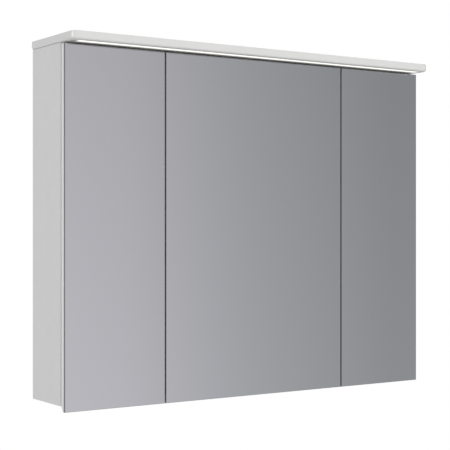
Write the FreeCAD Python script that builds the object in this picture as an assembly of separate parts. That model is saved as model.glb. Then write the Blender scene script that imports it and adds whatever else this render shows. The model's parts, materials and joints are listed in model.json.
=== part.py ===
import FreeCAD, Part
import math
import os

# Mirror cabinet: three hinged mirror doors on a wall-hung case, under a canopy with a light band.
# Millimetres. +X is to the right, the front faces -Y and +Z is up.
# The origin lies on the wall plane, midway between the two wall screw holes.

# Case boards
CASE_WIDTH = 996.0
CASE_HEIGHT = 774.0
CASE_DEPTH = 140.5
BOARD = 16.0
BACK_BOARD = 4.0
GROOVE_DEPTH = 6.0
WALL_RECESS = 16.0
RAIL_HEIGHT = 70.0

# Doors
SIDE_DOOR_WIDTH = 246.0
DOOR_PANEL = 11.5
GRIP_DEPTH = 7.0
MIRROR = 5.0
MIRROR_ARRIS = 0.6
DOOR_GAP = 3.0
DOOR_DROP = 11.0
DOOR_TOP_GAP = 3.0

# Canopy and light band
CANOPY_SIDE_OVERHANG = 2.0
CANOPY_FRONT_OVERHANG = 43.0
CANOPY_THICK = 19.0
CANOPY_CORNER = 15.0
CANOPY_LOWER_ROUND = 5.0
CANOPY_UPPER_ROUND = 2.5
LIGHT_BAND = 26.0
LIGHT_FRONT_SETBACK = 9.0
LIGHT_END_SETBACK = 21.0
LIGHT_DEPTH = 10.0
CHANNEL_WALL = 1.0
END_CAP = 2.0
DIFFUSER_THICK = 2.0
STRIP_WIDTH = 10.0
STRIP_THICK = 1.0
CHIP_SIZE = 5.0
CHIP_HEIGHT = 1.2
CHIP_PITCH = 33.0

# Hinges: one pivot pin inside a cup sunk into the door, and a cranked arm on a plate
OPEN_ANGLE = 95.0
HINGE_FROM_DOOR_END = 100.0
CUP_RADIUS = 17.5
CUP_WALL = 0.8
CUP_FLOOR = 0.4
FLOOR_CLEARANCE = 0.1
FLANGE_THICK = 1.0
FLANGE_HALF_LENGTH = 28.0
FLANGE_NEAR = 8.0
FLANGE_FAR = 16.0
CUP_SCREW_OFFSET = 9.5
CUP_SCREW_SPACING = 45.0
CUP_SCREW_LENGTH = 10.0
PIN_RADIUS = 0.9
KNUCKLE_RADIUS = 1.6
ARM_HALF_WIDTH = 3.5
EAR_THICK = 2.7
ARM_THICK = 4.0
ARM_REACH = 54.0
ARM_BODY_HALF_WIDTH = 6.0
ARM_BODY_START = 8.0
PLATE_THICK = 2.0
PLATE_START = 12.0
PLATE_HALF_WIDTH = 7.5
WING_HALF_LENGTH = 22.0
WING_HALF_WIDTH = 6.0
PLATE_SCREW_SETBACK = 37.0
PLATE_SCREW_SPACING = 32.0
PLATE_SCREW_BITE = 11.0
ARM_SCREW_SETBACK = 22.0
SWING_CLEARANCE = 0.3
BUMPER_RADIUS = 2.5
BUMPER_FROM_CASE_END = 40.0

# Shelves
SHELF_THICK = 5.0
SHELF_DEPTH = 106.0
SHELF_BACK_GAP = 2.0
SHELF_SIDE_GAP = 1.5
SHELVES_PER_BAY = 2
SHELF_PIN_RADIUS = 2.5
SHELF_PIN_DEPTH = 7.0
SHELF_PIN_OUT = 8.0
SHELF_PIN_INSET = 18.0
SHELF_ROW_PITCH = 32.0
SHELF_ROW_STEPS = 2

# Wall fixing
WALL_HOLE_RADIUS = 4.0
WALL_HOLE_SPACING = 800.0
HANGER_WIDTH = 60.0
HANGER_HEIGHT = 40.0
HANGER_THICK = 2.0
HANGER_SCREW_SPACING = 42.0
HANGER_SCREW_BITE = 12.0

# Case joinery
FIXING_REAR = 45.0
FIXING_FRONT = 110.0
DOWEL_SETBACK = 78.0
DOWEL_RADIUS = 4.0
DOWEL_IN_FACE = 10.0
DOWEL_IN_EDGE = 20.0
CAM_RADIUS = 7.5
CAM_DEPTH = 12.5
CAM_SETBACK = 34.0
CAM_BOLT_RADIUS = 3.0
CAM_BOLT_IN_FACE = 11.0
PARTITION_SCREW_LENGTH = 45.0
CANOPY_SCREW_BITE = 12.0
CANOPY_SCREW_SPACING = 370.0

# Light supply and switch
ELECTRIC_FROM_PARTITION = 92.5
DRIVER_LENGTH = 120.0
DRIVER_DEPTH = 13.0
DRIVER_HEIGHT = 42.0
DRIVER_EDGE = 1.5
DRIVER_BELOW_RAIL = 25.0
TERMINAL_LENGTH = 30.0
TERMINAL_HEIGHT = 22.0
TERMINAL_BORE = 1.8
TERMINAL_BORE_DEPTH = 12.0
TERMINAL_WAYS = 3
CABLE_RADIUS = 2.0
CABLE_BEND = 15.0
CABLE_RISE = 5.0
CABLE_TAIL = 4.0
CLIP_HALF_WIDTH = 5.0
CLIP_HEIGHT = 8.0
CLIP_WALL = 1.4
CLIP_COUNT = 3
SWITCH_ABOVE_FLOOR = 150.0
SWITCH_WIDTH = 19.0
SWITCH_HEIGHT = 30.0
SWITCH_DEPTH = 15.0
BEZEL_MARGIN = 2.0
BEZEL_THICK = 1.5
ROCKER_RADIUS = 11.0
ROCKER_WIDTH = 12.0
ROCKER_FACE = 4.0
ROCKER_TILT = 8.0
ROCKER_PIVOT_DEPTH = 1.0
TRUNNION_RADIUS = 1.2
TRUNNION_LENGTH = 1.5

# Fasteners and fits
SCREW_RADIUS = 1.75
SCREW_HEAD_RADIUS = 3.2
SCREW_HEAD = 1.6
WOOD_SCREW_RADIUS = 2.2
WOOD_SCREW_HEAD_RADIUS = 4.2
FIT = 0.05
SEAT_FIT = 0.1

# Hinge geometry: the pin lies as near the mirror as the cup floor allows.
# Its inset keeps the door's back corner clear of the case, and the leaf gap clears the front corner.
PIN_DEPTH = DOOR_PANEL - CUP_FLOOR - FLOOR_CLEARANCE - KNUCKLE_RADIUS
PIN_INSET = math.sqrt((PIN_DEPTH + DOOR_GAP - SWING_CLEARANCE) ** 2 - PIN_DEPTH ** 2)
LEAF_GAP = math.hypot(PIN_INSET, DOOR_PANEL + MIRROR - PIN_DEPTH) - PIN_INSET + SWING_CLEARANCE
CUP_INNER = CUP_RADIUS - CUP_WALL
KNUCKLE_SPACE = KNUCKLE_RADIUS + SWING_CLEARANCE
CUP_CENTRE = PIN_INSET - KNUCKLE_SPACE + math.sqrt(CUP_INNER ** 2 - ARM_HALF_WIDTH ** 2)
CORNER_SWEEP = PIN_INSET + math.hypot(PIN_INSET, PIN_DEPTH) + SWING_CLEARANCE
ARM_INSET = max(CORNER_SWEEP, BOARD + PLATE_THICK)
OPEN_SINE = math.sin(math.radians(OPEN_ANGLE))
OPEN_COSINE = math.cos(math.radians(OPEN_ANGLE))
ARM_RUN_BACK = PIN_DEPTH * (1.0 - OPEN_COSINE) - KNUCKLE_SPACE * OPEN_SINE + SWING_CLEARANCE

# Planes from the wall forwards
BACK_REAR = -WALL_RECESS
BACK_FRONT = BACK_REAR - BACK_BOARD
CASE_FRONT = -CASE_DEPTH
DOOR_BACK = CASE_FRONT - DOOR_GAP
MIRROR_BACK = DOOR_BACK - DOOR_PANEL
MIRROR_FACE = MIRROR_BACK - MIRROR
CANOPY_FRONT = MIRROR_FACE - CANOPY_FRONT_OVERHANG
CABLE_PLANE = -WALL_RECESS / 2.0

# Levels from the wall screws up and down
TOP_INSIDE = RAIL_HEIGHT / 2.0
CASE_TOP = TOP_INSIDE + BOARD
CASE_BOTTOM = CASE_TOP - CASE_HEIGHT
BOTTOM_INSIDE = CASE_BOTTOM + BOARD
DOOR_BOTTOM = CASE_BOTTOM - DOOR_DROP
DOOR_TOP = CASE_TOP - DOOR_TOP_GAP
HINGE_LEVELS = (DOOR_BOTTOM + HINGE_FROM_DOOR_END, DOOR_TOP - HINGE_FROM_DOOR_END)

# Places across the width
HALF_WIDTH = CASE_WIDTH / 2.0
INNER_HALF = HALF_WIDTH - BOARD
PARTITION_X = HALF_WIDTH - SIDE_DOOR_WIDTH - LEAF_GAP / 2.0
PARTITION_NEAR = PARTITION_X - BOARD / 2.0
PARTITION_FAR = PARTITION_X + BOARD / 2.0
MIDDLE_DOOR_HALF = PARTITION_X - LEAF_GAP / 2.0
ELECTRIC_X = PARTITION_NEAR - ELECTRIC_FROM_PARTITION
BAYS = {
    "left": (-INNER_HALF, -PARTITION_FAR),
    "middle": (-PARTITION_NEAR, PARTITION_NEAR),
    "right": (PARTITION_FAR, INNER_HALF),
}

# Each door: its left and right edge, the side of its hinges (1 left, -1 right),
# and how far the face that carries its hinge plates lies from its hinge edge.
PARTITION_PLATE_FACE = (BOARD - LEAF_GAP) / 2.0
DOORS = {
    "left": (-HALF_WIDTH, SIDE_DOOR_WIDTH - HALF_WIDTH, 1, BOARD),
    "middle": (-MIDDLE_DOOR_HALF, MIDDLE_DOOR_HALF, -1, PARTITION_PLATE_FACE),
    "right": (HALF_WIDTH - SIDE_DOOR_WIDTH, HALF_WIDTH, -1, BOARD),
}

V = FreeCAD.Vector
X_AXIS = V(1, 0, 0)
Y_AXIS = V(0, 1, 0)
Z_AXIS = V(0, 0, 1)


def box(x0, x1, y0, y1, z0, z1):
    """Box between two opposite corners."""
    corner = V(min(x0, x1), min(y0, y1), min(z0, z1))
    return Part.makeBox(abs(x1 - x0), abs(y1 - y0), abs(z1 - z0), corner)


def rod(x, y, z, axis, radius, length):
    """Cylinder from a point along an axis; a negative length runs backwards."""
    direction = axis if length > 0 else axis.negative()
    return Part.makeCylinder(radius, abs(length), V(x, y, z), direction)


def screw(x, y, z, axis, length, radius=SCREW_RADIUS, head_radius=SCREW_HEAD_RADIUS):
    """Pan-head screw seated at a point, with its shank along the axis by a signed length."""
    head = rod(x, y, z, axis, head_radius, -math.copysign(SCREW_HEAD, length))
    return head.fuse(rod(x, y, z, axis, radius, length)).removeSplitter()


def cut(shape, tools):
    """Shape with every tool taken out of it."""
    return shape.cut(Part.makeCompound(tools)) if tools else shape


def save(name, shapes):
    """Write the solids of one sub-part to its own file."""
    solids = [solid for shape in shapes for solid in shape.Solids]
    node = solids[0] if len(solids) == 1 else Part.makeCompound(solids)
    node.exportStep("parts/" + name + ".step")


# Hinge pieces are drawn for a left-hung door: x runs from the hinge edge into the door,
# -y from the door's back to its front, and z from the hinge's middle.

def at_hinges(door, shape):
    """Copies of a hinge piece at each hinge of a door."""
    left, right, side, _ = DOORS[door]
    copies = []
    for level in HINGE_LEVELS:
        piece = shape.copy() if side > 0 else shape.mirror(V(0, 0, 0), X_AXIS)
        piece.translate(V(left if side > 0 else right, DOOR_BACK, level))
        copies.append(piece)
    return copies


def pin_bore():
    """Bore for the hinge pin through knuckle and ears."""
    half = ARM_HALF_WIDTH + SWING_CLEARANCE + EAR_THICK
    return rod(PIN_INSET, -PIN_DEPTH, -half, Z_AXIS, PIN_RADIUS + FIT, 2 * half)


def hinge_pin():
    """Pivot pin, as long as the ears are apart outside."""
    half = ARM_HALF_WIDTH + SWING_CLEARANCE + EAR_THICK
    return rod(PIN_INSET, -PIN_DEPTH, -half, Z_AXIS, PIN_RADIUS, 2 * half)


def cup_screw_places():
    """Places of the two screws that hold a cup's flange."""
    x = CUP_CENTRE + CUP_SCREW_OFFSET
    return [(x, -CUP_SCREW_SPACING / 2.0), (x, CUP_SCREW_SPACING / 2.0)]


def hinge_cup():
    """Cup with its floor on the mirror's back, two ears for the pin and a screwed flange."""
    outside = rod(CUP_CENTRE, 0, 0, Y_AXIS, CUP_RADIUS - FIT, -DOOR_PANEL)
    hollow = rod(CUP_CENTRE, FLANGE_THICK, 0, Y_AXIS, CUP_INNER, -(FLANGE_THICK + DOOR_PANEL - CUP_FLOOR))
    flange = box(
        CUP_CENTRE - FLANGE_NEAR, CUP_CENTRE + FLANGE_FAR,
        0, FLANGE_THICK, -FLANGE_HALF_LENGTH, FLANGE_HALF_LENGTH)
    cup = outside.fuse(flange).cut(hollow)
    ear_start = ARM_HALF_WIDTH + SWING_CLEARANCE
    for side in (1, -1):
        ear = box(
            0, PIN_INSET + KNUCKLE_SPACE, -(PIN_DEPTH - KNUCKLE_SPACE), -DOOR_PANEL,
            side * ear_start, side * (ear_start + EAR_THICK))
        cup = cup.fuse(ear.common(outside))
    holes = [
        rod(x, FLANGE_THICK, z, Y_AXIS, SCREW_RADIUS + FIT, -FLANGE_THICK)
        for x, z in cup_screw_places()]
    return cut(cup.removeSplitter(), holes + [pin_bore()])


def hinge_arm():
    """Cranked arm: knuckle on the pin, a run past the door's edge, and a body back into the case."""
    front = -(PIN_DEPTH + KNUCKLE_RADIUS)
    far = ARM_INSET + ARM_THICK
    knuckle = rod(PIN_INSET, -PIN_DEPTH, -ARM_HALF_WIDTH, Z_AXIS, KNUCKLE_RADIUS, 2 * ARM_HALF_WIDTH)
    run = box(PIN_INSET, far, -ARM_RUN_BACK, front, -ARM_HALF_WIDTH, ARM_HALF_WIDTH)
    neck = box(ARM_INSET, far, ARM_REACH, front, -ARM_HALF_WIDTH, ARM_HALF_WIDTH)
    body = box(ARM_INSET, far, ARM_BODY_START, ARM_REACH, -ARM_BODY_HALF_WIDTH, ARM_BODY_HALF_WIDTH)
    arm = knuckle.fuse([run, neck, body]).removeSplitter()
    return cut(arm, [pin_bore(), arm_screw_hole(far, ARM_THICK)])


def arm_screw_hole(seat, length):
    """Hole for the screw that clamps an arm to its plate."""
    return rod(seat, DOOR_GAP + ARM_SCREW_SETBACK, 0, X_AXIS, SCREW_RADIUS + FIT, -length)


def plate_screw_places():
    """Places of the two screws that hold a plate to its board."""
    y = DOOR_GAP + PLATE_SCREW_SETBACK
    return [(y, -PLATE_SCREW_SPACING / 2.0), (y, PLATE_SCREW_SPACING / 2.0)]


def hinge_plate(face):
    """Cross-shaped plate that carries the arm, on a board face."""
    bar = box(face, ARM_INSET, PLATE_START, ARM_REACH, -PLATE_HALF_WIDTH, PLATE_HALF_WIDTH)
    middle = DOOR_GAP + PLATE_SCREW_SETBACK
    wing = box(
        face, face + PLATE_THICK, middle - WING_HALF_WIDTH, middle + WING_HALF_WIDTH,
        -WING_HALF_LENGTH, WING_HALF_LENGTH)
    plate = bar.fuse(wing).removeSplitter()
    holes = [
        rod(face + PLATE_THICK, y, z, X_AXIS, SCREW_RADIUS + FIT, -PLATE_THICK)
        for y, z in plate_screw_places()]
    return cut(plate, holes + [arm_screw_hole(ARM_INSET, ARM_INSET - face)])


def hinge_screws(door):
    """Plate screws and arm clamp screws of a door's hinges."""
    face = DOORS[door][3]
    seat = ARM_INSET + ARM_THICK
    clamp_length = seat - face - SEAT_FIT
    screws = at_hinges(door, screw(seat, DOOR_GAP + ARM_SCREW_SETBACK, 0, X_AXIS, -clamp_length))
    for y, z in plate_screw_places():
        length = PLATE_THICK + PLATE_SCREW_BITE
        screws += at_hinges(door, screw(face + PLATE_THICK, y, z, X_AXIS, -length))
    return screws


def plate_screw_bores(door):
    """Bores for a door's plate screws in the board that carries them."""
    face = DOORS[door][3]
    depth = PLATE_SCREW_BITE + SEAT_FIT
    bores = []
    for y, z in plate_screw_places():
        bores += at_hinges(door, rod(face, y, z, X_AXIS, SCREW_RADIUS + FIT, -depth))
    return bores


def door_panel(door):
    """White door panel, sloped behind its lower edge for the fingers, with bores for its hinges."""
    left, right, _, _ = DOORS[door]
    corners = [
        V(left, DOOR_BACK, DOOR_TOP),
        V(left, MIRROR_BACK, DOOR_TOP),
        V(left, MIRROR_BACK, DOOR_BOTTOM),
        V(left, DOOR_BACK - GRIP_DEPTH, DOOR_BOTTOM),
        V(left, DOOR_BACK, CASE_BOTTOM),
    ]
    profile = Part.makePolygon(corners + corners[:1])
    panel = Part.Face(profile).extrude(V(right - left, 0, 0))
    bores = at_hinges(door, rod(CUP_CENTRE, 0, 0, Y_AXIS, CUP_RADIUS, -DOOR_PANEL))
    depth = CUP_SCREW_LENGTH - FLANGE_THICK + SEAT_FIT
    for x, z in cup_screw_places():
        bores += at_hinges(door, rod(x, 0, z, Y_AXIS, SCREW_RADIUS + FIT, -depth))
    return cut(panel, bores)


def door_mirror(door):
    """Mirror pane over the whole door front, with a ground arris round its face."""
    left, right, _, _ = DOORS[door]
    pane = box(left, right, MIRROR_BACK, MIRROR_FACE, DOOR_BOTTOM, DOOR_TOP)
    face = min(pane.Faces, key=lambda item: item.CenterOfMass.y)
    return pane.makeChamfer(MIRROR_ARRIS, face.Edges)


def cup_screws(door):
    """Screws that hold the cup flanges to the door panel."""
    screws = []
    for x, z in cup_screw_places():
        screws += at_hinges(door, screw(x, FLANGE_THICK, z, Y_AXIS, -CUP_SCREW_LENGTH))
    return screws


def door_bumpers():
    """Soft pads on the partition edges, where the free edge of each door comes to rest."""
    offset = LEAF_GAP / 2.0 + (BOARD - LEAF_GAP) / 4.0
    places = (-PARTITION_X - offset, -PARTITION_X + offset, PARTITION_X + offset)
    levels = (BOTTOM_INSIDE + BUMPER_FROM_CASE_END, TOP_INSIDE - BUMPER_FROM_CASE_END)
    thick = DOOR_GAP - SEAT_FIT
    return [rod(x, CASE_FRONT, z, Y_AXIS, BUMPER_RADIUS, -thick) for x in places for z in levels]


# Shelves

def shelf_levels():
    """Undersides of the shelves, evenly spaced in a bay."""
    clear = TOP_INSIDE - BOTTOM_INSIDE
    return [BOTTOM_INSIDE + clear * (i + 1) / (SHELVES_PER_BAY + 1) for i in range(SHELVES_PER_BAY)]


def shelf(bay, level):
    """Glass shelf with ground edges, resting on four pins."""
    left, right = BAYS[bay]
    back = BACK_FRONT - SHELF_BACK_GAP
    return box(
        left + SHELF_SIDE_GAP, right - SHELF_SIDE_GAP, back, back - SHELF_DEPTH,
        level, level + SHELF_THICK)


def shelf_pins(bay, radius, inside, outside, lift=0.0):
    """Rods at a bay's shelf pin places, from inside the boards to outside them, lifted by a distance."""
    left, right = BAYS[bay]
    back = BACK_FRONT - SHELF_BACK_GAP
    rods = []
    for level in shelf_levels():
        z = level - FIT - SHELF_PIN_RADIUS + lift
        for y in (back - SHELF_PIN_INSET, back - SHELF_DEPTH + SHELF_PIN_INSET):
            rods.append(rod(left - inside, y, z, X_AXIS, radius, inside + outside))
            rods.append(rod(right + inside, y, z, X_AXIS, radius, -(inside + outside)))
    return rods


def shelf_pin_bores(bay):
    """Rows of blind bores, so that the shelf pins can be set higher or lower."""
    bores = []
    for step in range(-SHELF_ROW_STEPS, SHELF_ROW_STEPS + 1):
        lift = step * SHELF_ROW_PITCH
        bores += shelf_pins(bay, SHELF_PIN_RADIUS + FIT, SHELF_PIN_DEPTH + SEAT_FIT, 0, lift)
    return bores


# Case joinery

def side_joints():
    """Joints of the side boards with the top and bottom panels: side, board middle, outer face, way in."""
    top = (CASE_TOP - BOARD / 2.0, CASE_TOP, -1)
    bottom = (CASE_BOTTOM + BOARD / 2.0, CASE_BOTTOM, 1)
    return [(side, *panel) for side in (-1, 1) for panel in (top, bottom)]


def cam_bolts(spare):
    """Bolts from the side boards into the ends of the top and bottom panels."""
    bolts = []
    for side, middle, _, _ in side_joints():
        for y in (-FIXING_REAR, -FIXING_FRONT):
            start = side * (INNER_HALF + CAM_BOLT_IN_FACE + spare)
            length = -side * (CAM_BOLT_IN_FACE + CAM_SETBACK + 2 * spare)
            bolts.append(rod(start, y, middle, X_AXIS, CAM_BOLT_RADIUS + spare, length))
    return bolts


def cam_locks(spare):
    """Locking discs sunk into the outer faces of the top and bottom panels."""
    discs = []
    for side, _, face, inwards in side_joints():
        for y in (-FIXING_REAR, -FIXING_FRONT):
            x = side * (INNER_HALF - CAM_SETBACK)
            discs.append(rod(x, y, face, Z_AXIS, CAM_RADIUS + spare, inwards * (CAM_DEPTH + spare)))
    return discs


def dowels(spare):
    """Dowels at the side boards' and the partitions' joints with the top and bottom panels."""
    radius = DOWEL_RADIUS + spare
    length = DOWEL_IN_FACE + DOWEL_IN_EDGE + 2 * spare
    pegs = []
    for side, middle, face, inwards in side_joints():
        start = side * (INNER_HALF + DOWEL_IN_FACE + spare)
        pegs.append(rod(start, -DOWEL_SETBACK, middle, X_AXIS, radius, -side * length))
        level = face + inwards * (BOARD - DOWEL_IN_FACE - spare)
        pegs.append(rod(side * PARTITION_X, -DOWEL_SETBACK, level, Z_AXIS, radius, inwards * length))
    return pegs


def partition_screws(spare):
    """Sunk screws through the top and bottom panels into the partitions."""
    screws = []
    for side, _, face, inwards in side_joints():
        for y in (-FIXING_REAR, -FIXING_FRONT):
            x = side * PARTITION_X
            length = inwards * (PARTITION_SCREW_LENGTH + spare)
            shank = rod(x, y, face, Z_AXIS, WOOD_SCREW_RADIUS + spare, length)
            head = rod(x, y, face, Z_AXIS, WOOD_SCREW_HEAD_RADIUS + spare, inwards * (SCREW_HEAD + spare))
            screws.append(shank.fuse(head).removeSplitter())
    return screws


def canopy_screw_places():
    """Places of the screws that hold the canopy down on the top panel."""
    across = (-CANOPY_SCREW_SPACING, 0.0, CANOPY_SCREW_SPACING)
    return [(x, y) for x in across for y in (-FIXING_REAR, -FIXING_FRONT)]


def canopy_screw_bores():
    """Bores for the canopy screws through the top panel into the canopy."""
    length = BOARD + CANOPY_SCREW_BITE + SEAT_FIT
    return [
        rod(x, y, TOP_INSIDE, Z_AXIS, WOOD_SCREW_RADIUS + FIT, length)
        for x, y in canopy_screw_places()]


# Wall fixing

def wall_holes():
    """Holes for the two wall screws through rail, back panel and hanger plates."""
    length = BACK_FRONT - HANGER_THICK
    half = WALL_HOLE_SPACING / 2.0
    return [rod(x, 0, 0, Y_AXIS, WALL_HOLE_RADIUS, length) for x in (-half, half)]


def hanger_screw_places():
    """Places of the small screws beside each wall hole."""
    half = WALL_HOLE_SPACING / 2.0
    reach = HANGER_SCREW_SPACING / 2.0
    return [hole + step for hole in (-half, half) for step in (-reach, reach)]


def hanger_screw_bores():
    """Bores for the hanger screws."""
    seat = BACK_FRONT - HANGER_THICK
    length = HANGER_THICK + BACK_BOARD + HANGER_SCREW_BITE + SEAT_FIT
    return [rod(x, seat, 0, Y_AXIS, SCREW_RADIUS + FIT, length) for x in hanger_screw_places()]


def hanger_plates():
    """Steel plates that spread the load of the wall screws on the back panel."""
    half = WALL_HOLE_SPACING / 2.0
    plates = []
    for x in (-half, half):
        plates.append(box(
            x - HANGER_WIDTH / 2.0, x + HANGER_WIDTH / 2.0, BACK_FRONT, BACK_FRONT - HANGER_THICK,
            -HANGER_HEIGHT / 2.0, HANGER_HEIGHT / 2.0))
    return [cut(plate, wall_holes() + hanger_screw_bores()) for plate in plates]


# Canopy and light band

LIGHT_FRONT = CANOPY_FRONT + LIGHT_FRONT_SETBACK
LIGHT_BACK = LIGHT_FRONT + LIGHT_BAND + 2 * CHANNEL_WALL
LIGHT_TOP = CASE_TOP + LIGHT_DEPTH
LIGHT_HALF = HALF_WIDTH + CANOPY_SIDE_OVERHANG - LIGHT_END_SETBACK
CHANNEL_HALF = LIGHT_HALF - END_CAP - SEAT_FIT


def light_box(half, front_gap, back_gap, low, high):
    """Box along the light band, set in from its front and back faces."""
    return box(-half, half, LIGHT_FRONT + front_gap, LIGHT_BACK - back_gap, low, high)


def light_channel():
    """Channel profile in the canopy's slot, open downwards."""
    wall = SEAT_FIT + CHANNEL_WALL
    outside = light_box(CHANNEL_HALF, SEAT_FIT, SEAT_FIT, CASE_TOP, LIGHT_TOP)
    inside = light_box(CHANNEL_HALF, wall, wall, CASE_TOP, LIGHT_TOP - CHANNEL_WALL)
    return cut(outside.cut(inside), [light_cable(CABLE_RADIUS + FIT)])


def light_end_caps():
    """Caps that close both ends of the channel."""
    cap = light_box(END_CAP / 2.0, SEAT_FIT, SEAT_FIT, CASE_TOP, LIGHT_TOP)
    caps = []
    for side in (-1, 1):
        copy = cap.copy()
        copy.translate(V(side * (CHANNEL_HALF + END_CAP / 2.0), 0, 0))
        caps.append(copy)
    return caps


def light_strip():
    """Circuit strip on the channel's base, with a row of light chips."""
    middle = (LIGHT_FRONT + LIGHT_BACK) / 2.0
    base = LIGHT_TOP - CHANNEL_WALL
    under = base - STRIP_THICK
    strip = box(
        -CHANNEL_HALF, CHANNEL_HALF, middle - STRIP_WIDTH / 2.0, middle + STRIP_WIDTH / 2.0, under, base)
    count = int((2 * CHANNEL_HALF - CHIP_SIZE) / CHIP_PITCH) + 1
    reach = CHIP_SIZE / 2.0
    chips = []
    for i in range(count):
        x = (i - (count - 1) / 2.0) * CHIP_PITCH
        chips.append(box(x - reach, x + reach, middle - reach, middle + reach, under - CHIP_HEIGHT, under))
    return strip.fuse(chips).removeSplitter()


def light_diffuser():
    """Milky cover between the channel walls, flush with the canopy's underside."""
    gap = 2 * SEAT_FIT + CHANNEL_WALL
    return light_box(CHANNEL_HALF, gap, gap, CASE_TOP, CASE_TOP + DIFFUSER_THICK)


def canopy_board():
    """Slab with rounded front corners, a large lower round and the slot for the light channel."""
    half = HALF_WIDTH + CANOPY_SIDE_OVERHANG
    corner = CANOPY_CORNER
    diagonal = corner * (1.0 - math.sqrt(0.5))
    front = CANOPY_FRONT

    def point(x, y):
        return V(x, y, CASE_TOP)

    outline = Part.Wire([
        Part.LineSegment(point(-half, 0), point(half, 0)).toShape(),
        Part.LineSegment(point(half, 0), point(half, front + corner)).toShape(),
        Part.Arc(
            point(half, front + corner), point(half - diagonal, front + diagonal),
            point(half - corner, front)).toShape(),
        Part.LineSegment(point(half - corner, front), point(corner - half, front)).toShape(),
        Part.Arc(
            point(corner - half, front), point(diagonal - half, front + diagonal),
            point(-half, front + corner)).toShape(),
        Part.LineSegment(point(-half, front + corner), point(-half, 0)).toShape(),
    ])
    slab = Part.Face(outline).extrude(V(0, 0, CANOPY_THICK))
    slab = slab.makeFillet(CANOPY_LOWER_ROUND, rim_edges(slab, CASE_TOP))
    slab = slab.makeFillet(CANOPY_UPPER_ROUND, rim_edges(slab, CASE_TOP + CANOPY_THICK))
    slot = light_box(LIGHT_HALF, 0, 0, CASE_TOP, LIGHT_TOP)
    return cut(slab, [slot, light_cable(CABLE_RADIUS + SWING_CLEARANCE)] + canopy_screw_bores())


def rim_edges(slab, level):
    """Edges of the slab at one level, apart from the one along the wall."""
    found = []
    for edge in slab.Edges:
        ends = [vertex.Point for vertex in edge.Vertexes]
        on_level = all(abs(end.z - level) < FIT for end in ends)
        on_wall = all(abs(end.y) < FIT for end in ends)
        if on_level and not on_wall:
            found.append(edge)
    return found


# Light supply and switch

DRIVER_TOP = -RAIL_HEIGHT / 2.0 - DRIVER_BELOW_RAIL
DRIVER_BOTTOM = DRIVER_TOP - DRIVER_HEIGHT
SWITCH_LEVEL = BOTTOM_INSIDE + SWITCH_ABOVE_FLOOR
SWITCH_TOP = SWITCH_LEVEL + SWITCH_HEIGHT / 2.0
PIVOT_Y = BACK_FRONT + ROCKER_PIVOT_DEPTH


def light_cable(radius):
    """Tube from the driver up through rail and top panel, then forward inside the canopy to the channel."""
    level = CASE_TOP + CABLE_RISE
    end = LIGHT_BACK - SEAT_FIT - CHANNEL_WALL - CABLE_TAIL
    reach = CABLE_BEND * (1.0 - math.sqrt(0.5))

    def point(y, z):
        return V(ELECTRIC_X, y, z)

    bend_start = point(CABLE_PLANE, level - CABLE_BEND)
    bend_middle = point(CABLE_PLANE - reach, level - reach)
    bend_end = point(CABLE_PLANE - CABLE_BEND, level)
    path = Part.Wire([
        Part.LineSegment(point(CABLE_PLANE, DRIVER_TOP), bend_start).toShape(),
        Part.Arc(bend_start, bend_middle, bend_end).toShape(),
        Part.LineSegment(bend_end, point(end, level)).toShape(),
    ])
    circle = Part.Wire(Part.makeCircle(radius, point(CABLE_PLANE, DRIVER_TOP), Z_AXIS))
    return path.makePipeShell([circle], True, False)


def driver():
    """Flat power supply on the back of the back panel."""
    half = DRIVER_LENGTH / 2.0
    block = box(
        ELECTRIC_X - half, ELECTRIC_X + half, BACK_REAR, BACK_REAR + DRIVER_DEPTH,
        DRIVER_BOTTOM, DRIVER_TOP)
    rear = max(block.Faces, key=lambda item: item.CenterOfMass.y)
    return block.makeFillet(DRIVER_EDGE, rear.Edges)


def terminal_block():
    """Inlet terminals at the driver's end, with wire bores from below."""
    left = ELECTRIC_X + DRIVER_LENGTH / 2.0
    top = DRIVER_BOTTOM + TERMINAL_HEIGHT
    block = box(left, left + TERMINAL_LENGTH, BACK_REAR, BACK_REAR + DRIVER_DEPTH, DRIVER_BOTTOM, top)
    pitch = TERMINAL_LENGTH / TERMINAL_WAYS
    bores = []
    for way in range(TERMINAL_WAYS):
        x = left + (way + 0.5) * pitch
        y = BACK_REAR + DRIVER_DEPTH / 2.0
        bores.append(rod(x, y, DRIVER_BOTTOM, Z_AXIS, TERMINAL_BORE, TERMINAL_BORE_DEPTH))
    return cut(block, bores)


def switch_cable(radius):
    """Straight lead from the driver down to the switch, behind the back panel."""
    return rod(ELECTRIC_X, CABLE_PLANE, DRIVER_BOTTOM, Z_AXIS, radius, SWITCH_TOP - DRIVER_BOTTOM)


def cable_clips():
    """Saddles that hold the switch cable to the back panel."""
    front = CABLE_PLANE + CABLE_RADIUS + CLIP_WALL
    step = (DRIVER_BOTTOM - SWITCH_TOP) / (CLIP_COUNT + 1)
    clips = []
    for i in range(CLIP_COUNT):
        level = SWITCH_TOP + (i + 1) * step
        block = box(
            ELECTRIC_X - CLIP_HALF_WIDTH, ELECTRIC_X + CLIP_HALF_WIDTH, BACK_REAR, front,
            level - CLIP_HEIGHT / 2.0, level + CLIP_HEIGHT / 2.0)
        clips.append(cut(block, [switch_cable(CABLE_RADIUS + FIT)]))
    return clips


def switch_box(margin, front, rear):
    """Box on the switch's middle, wider than its housing by a margin."""
    half_width = SWITCH_WIDTH / 2.0 + margin
    half_height = SWITCH_HEIGHT / 2.0 + margin
    return box(
        ELECTRIC_X - half_width, ELECTRIC_X + half_width, front, rear,
        SWITCH_LEVEL - half_height, SWITCH_LEVEL + half_height)


def trunnions(spare):
    """Pivot stubs on both ends of the rocker."""
    half = ROCKER_WIDTH / 2.0 + TRUNNION_LENGTH + spare
    return rod(ELECTRIC_X - half, PIVOT_Y, SWITCH_LEVEL, X_AXIS, TRUNNION_RADIUS + spare, 2 * half)


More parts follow.
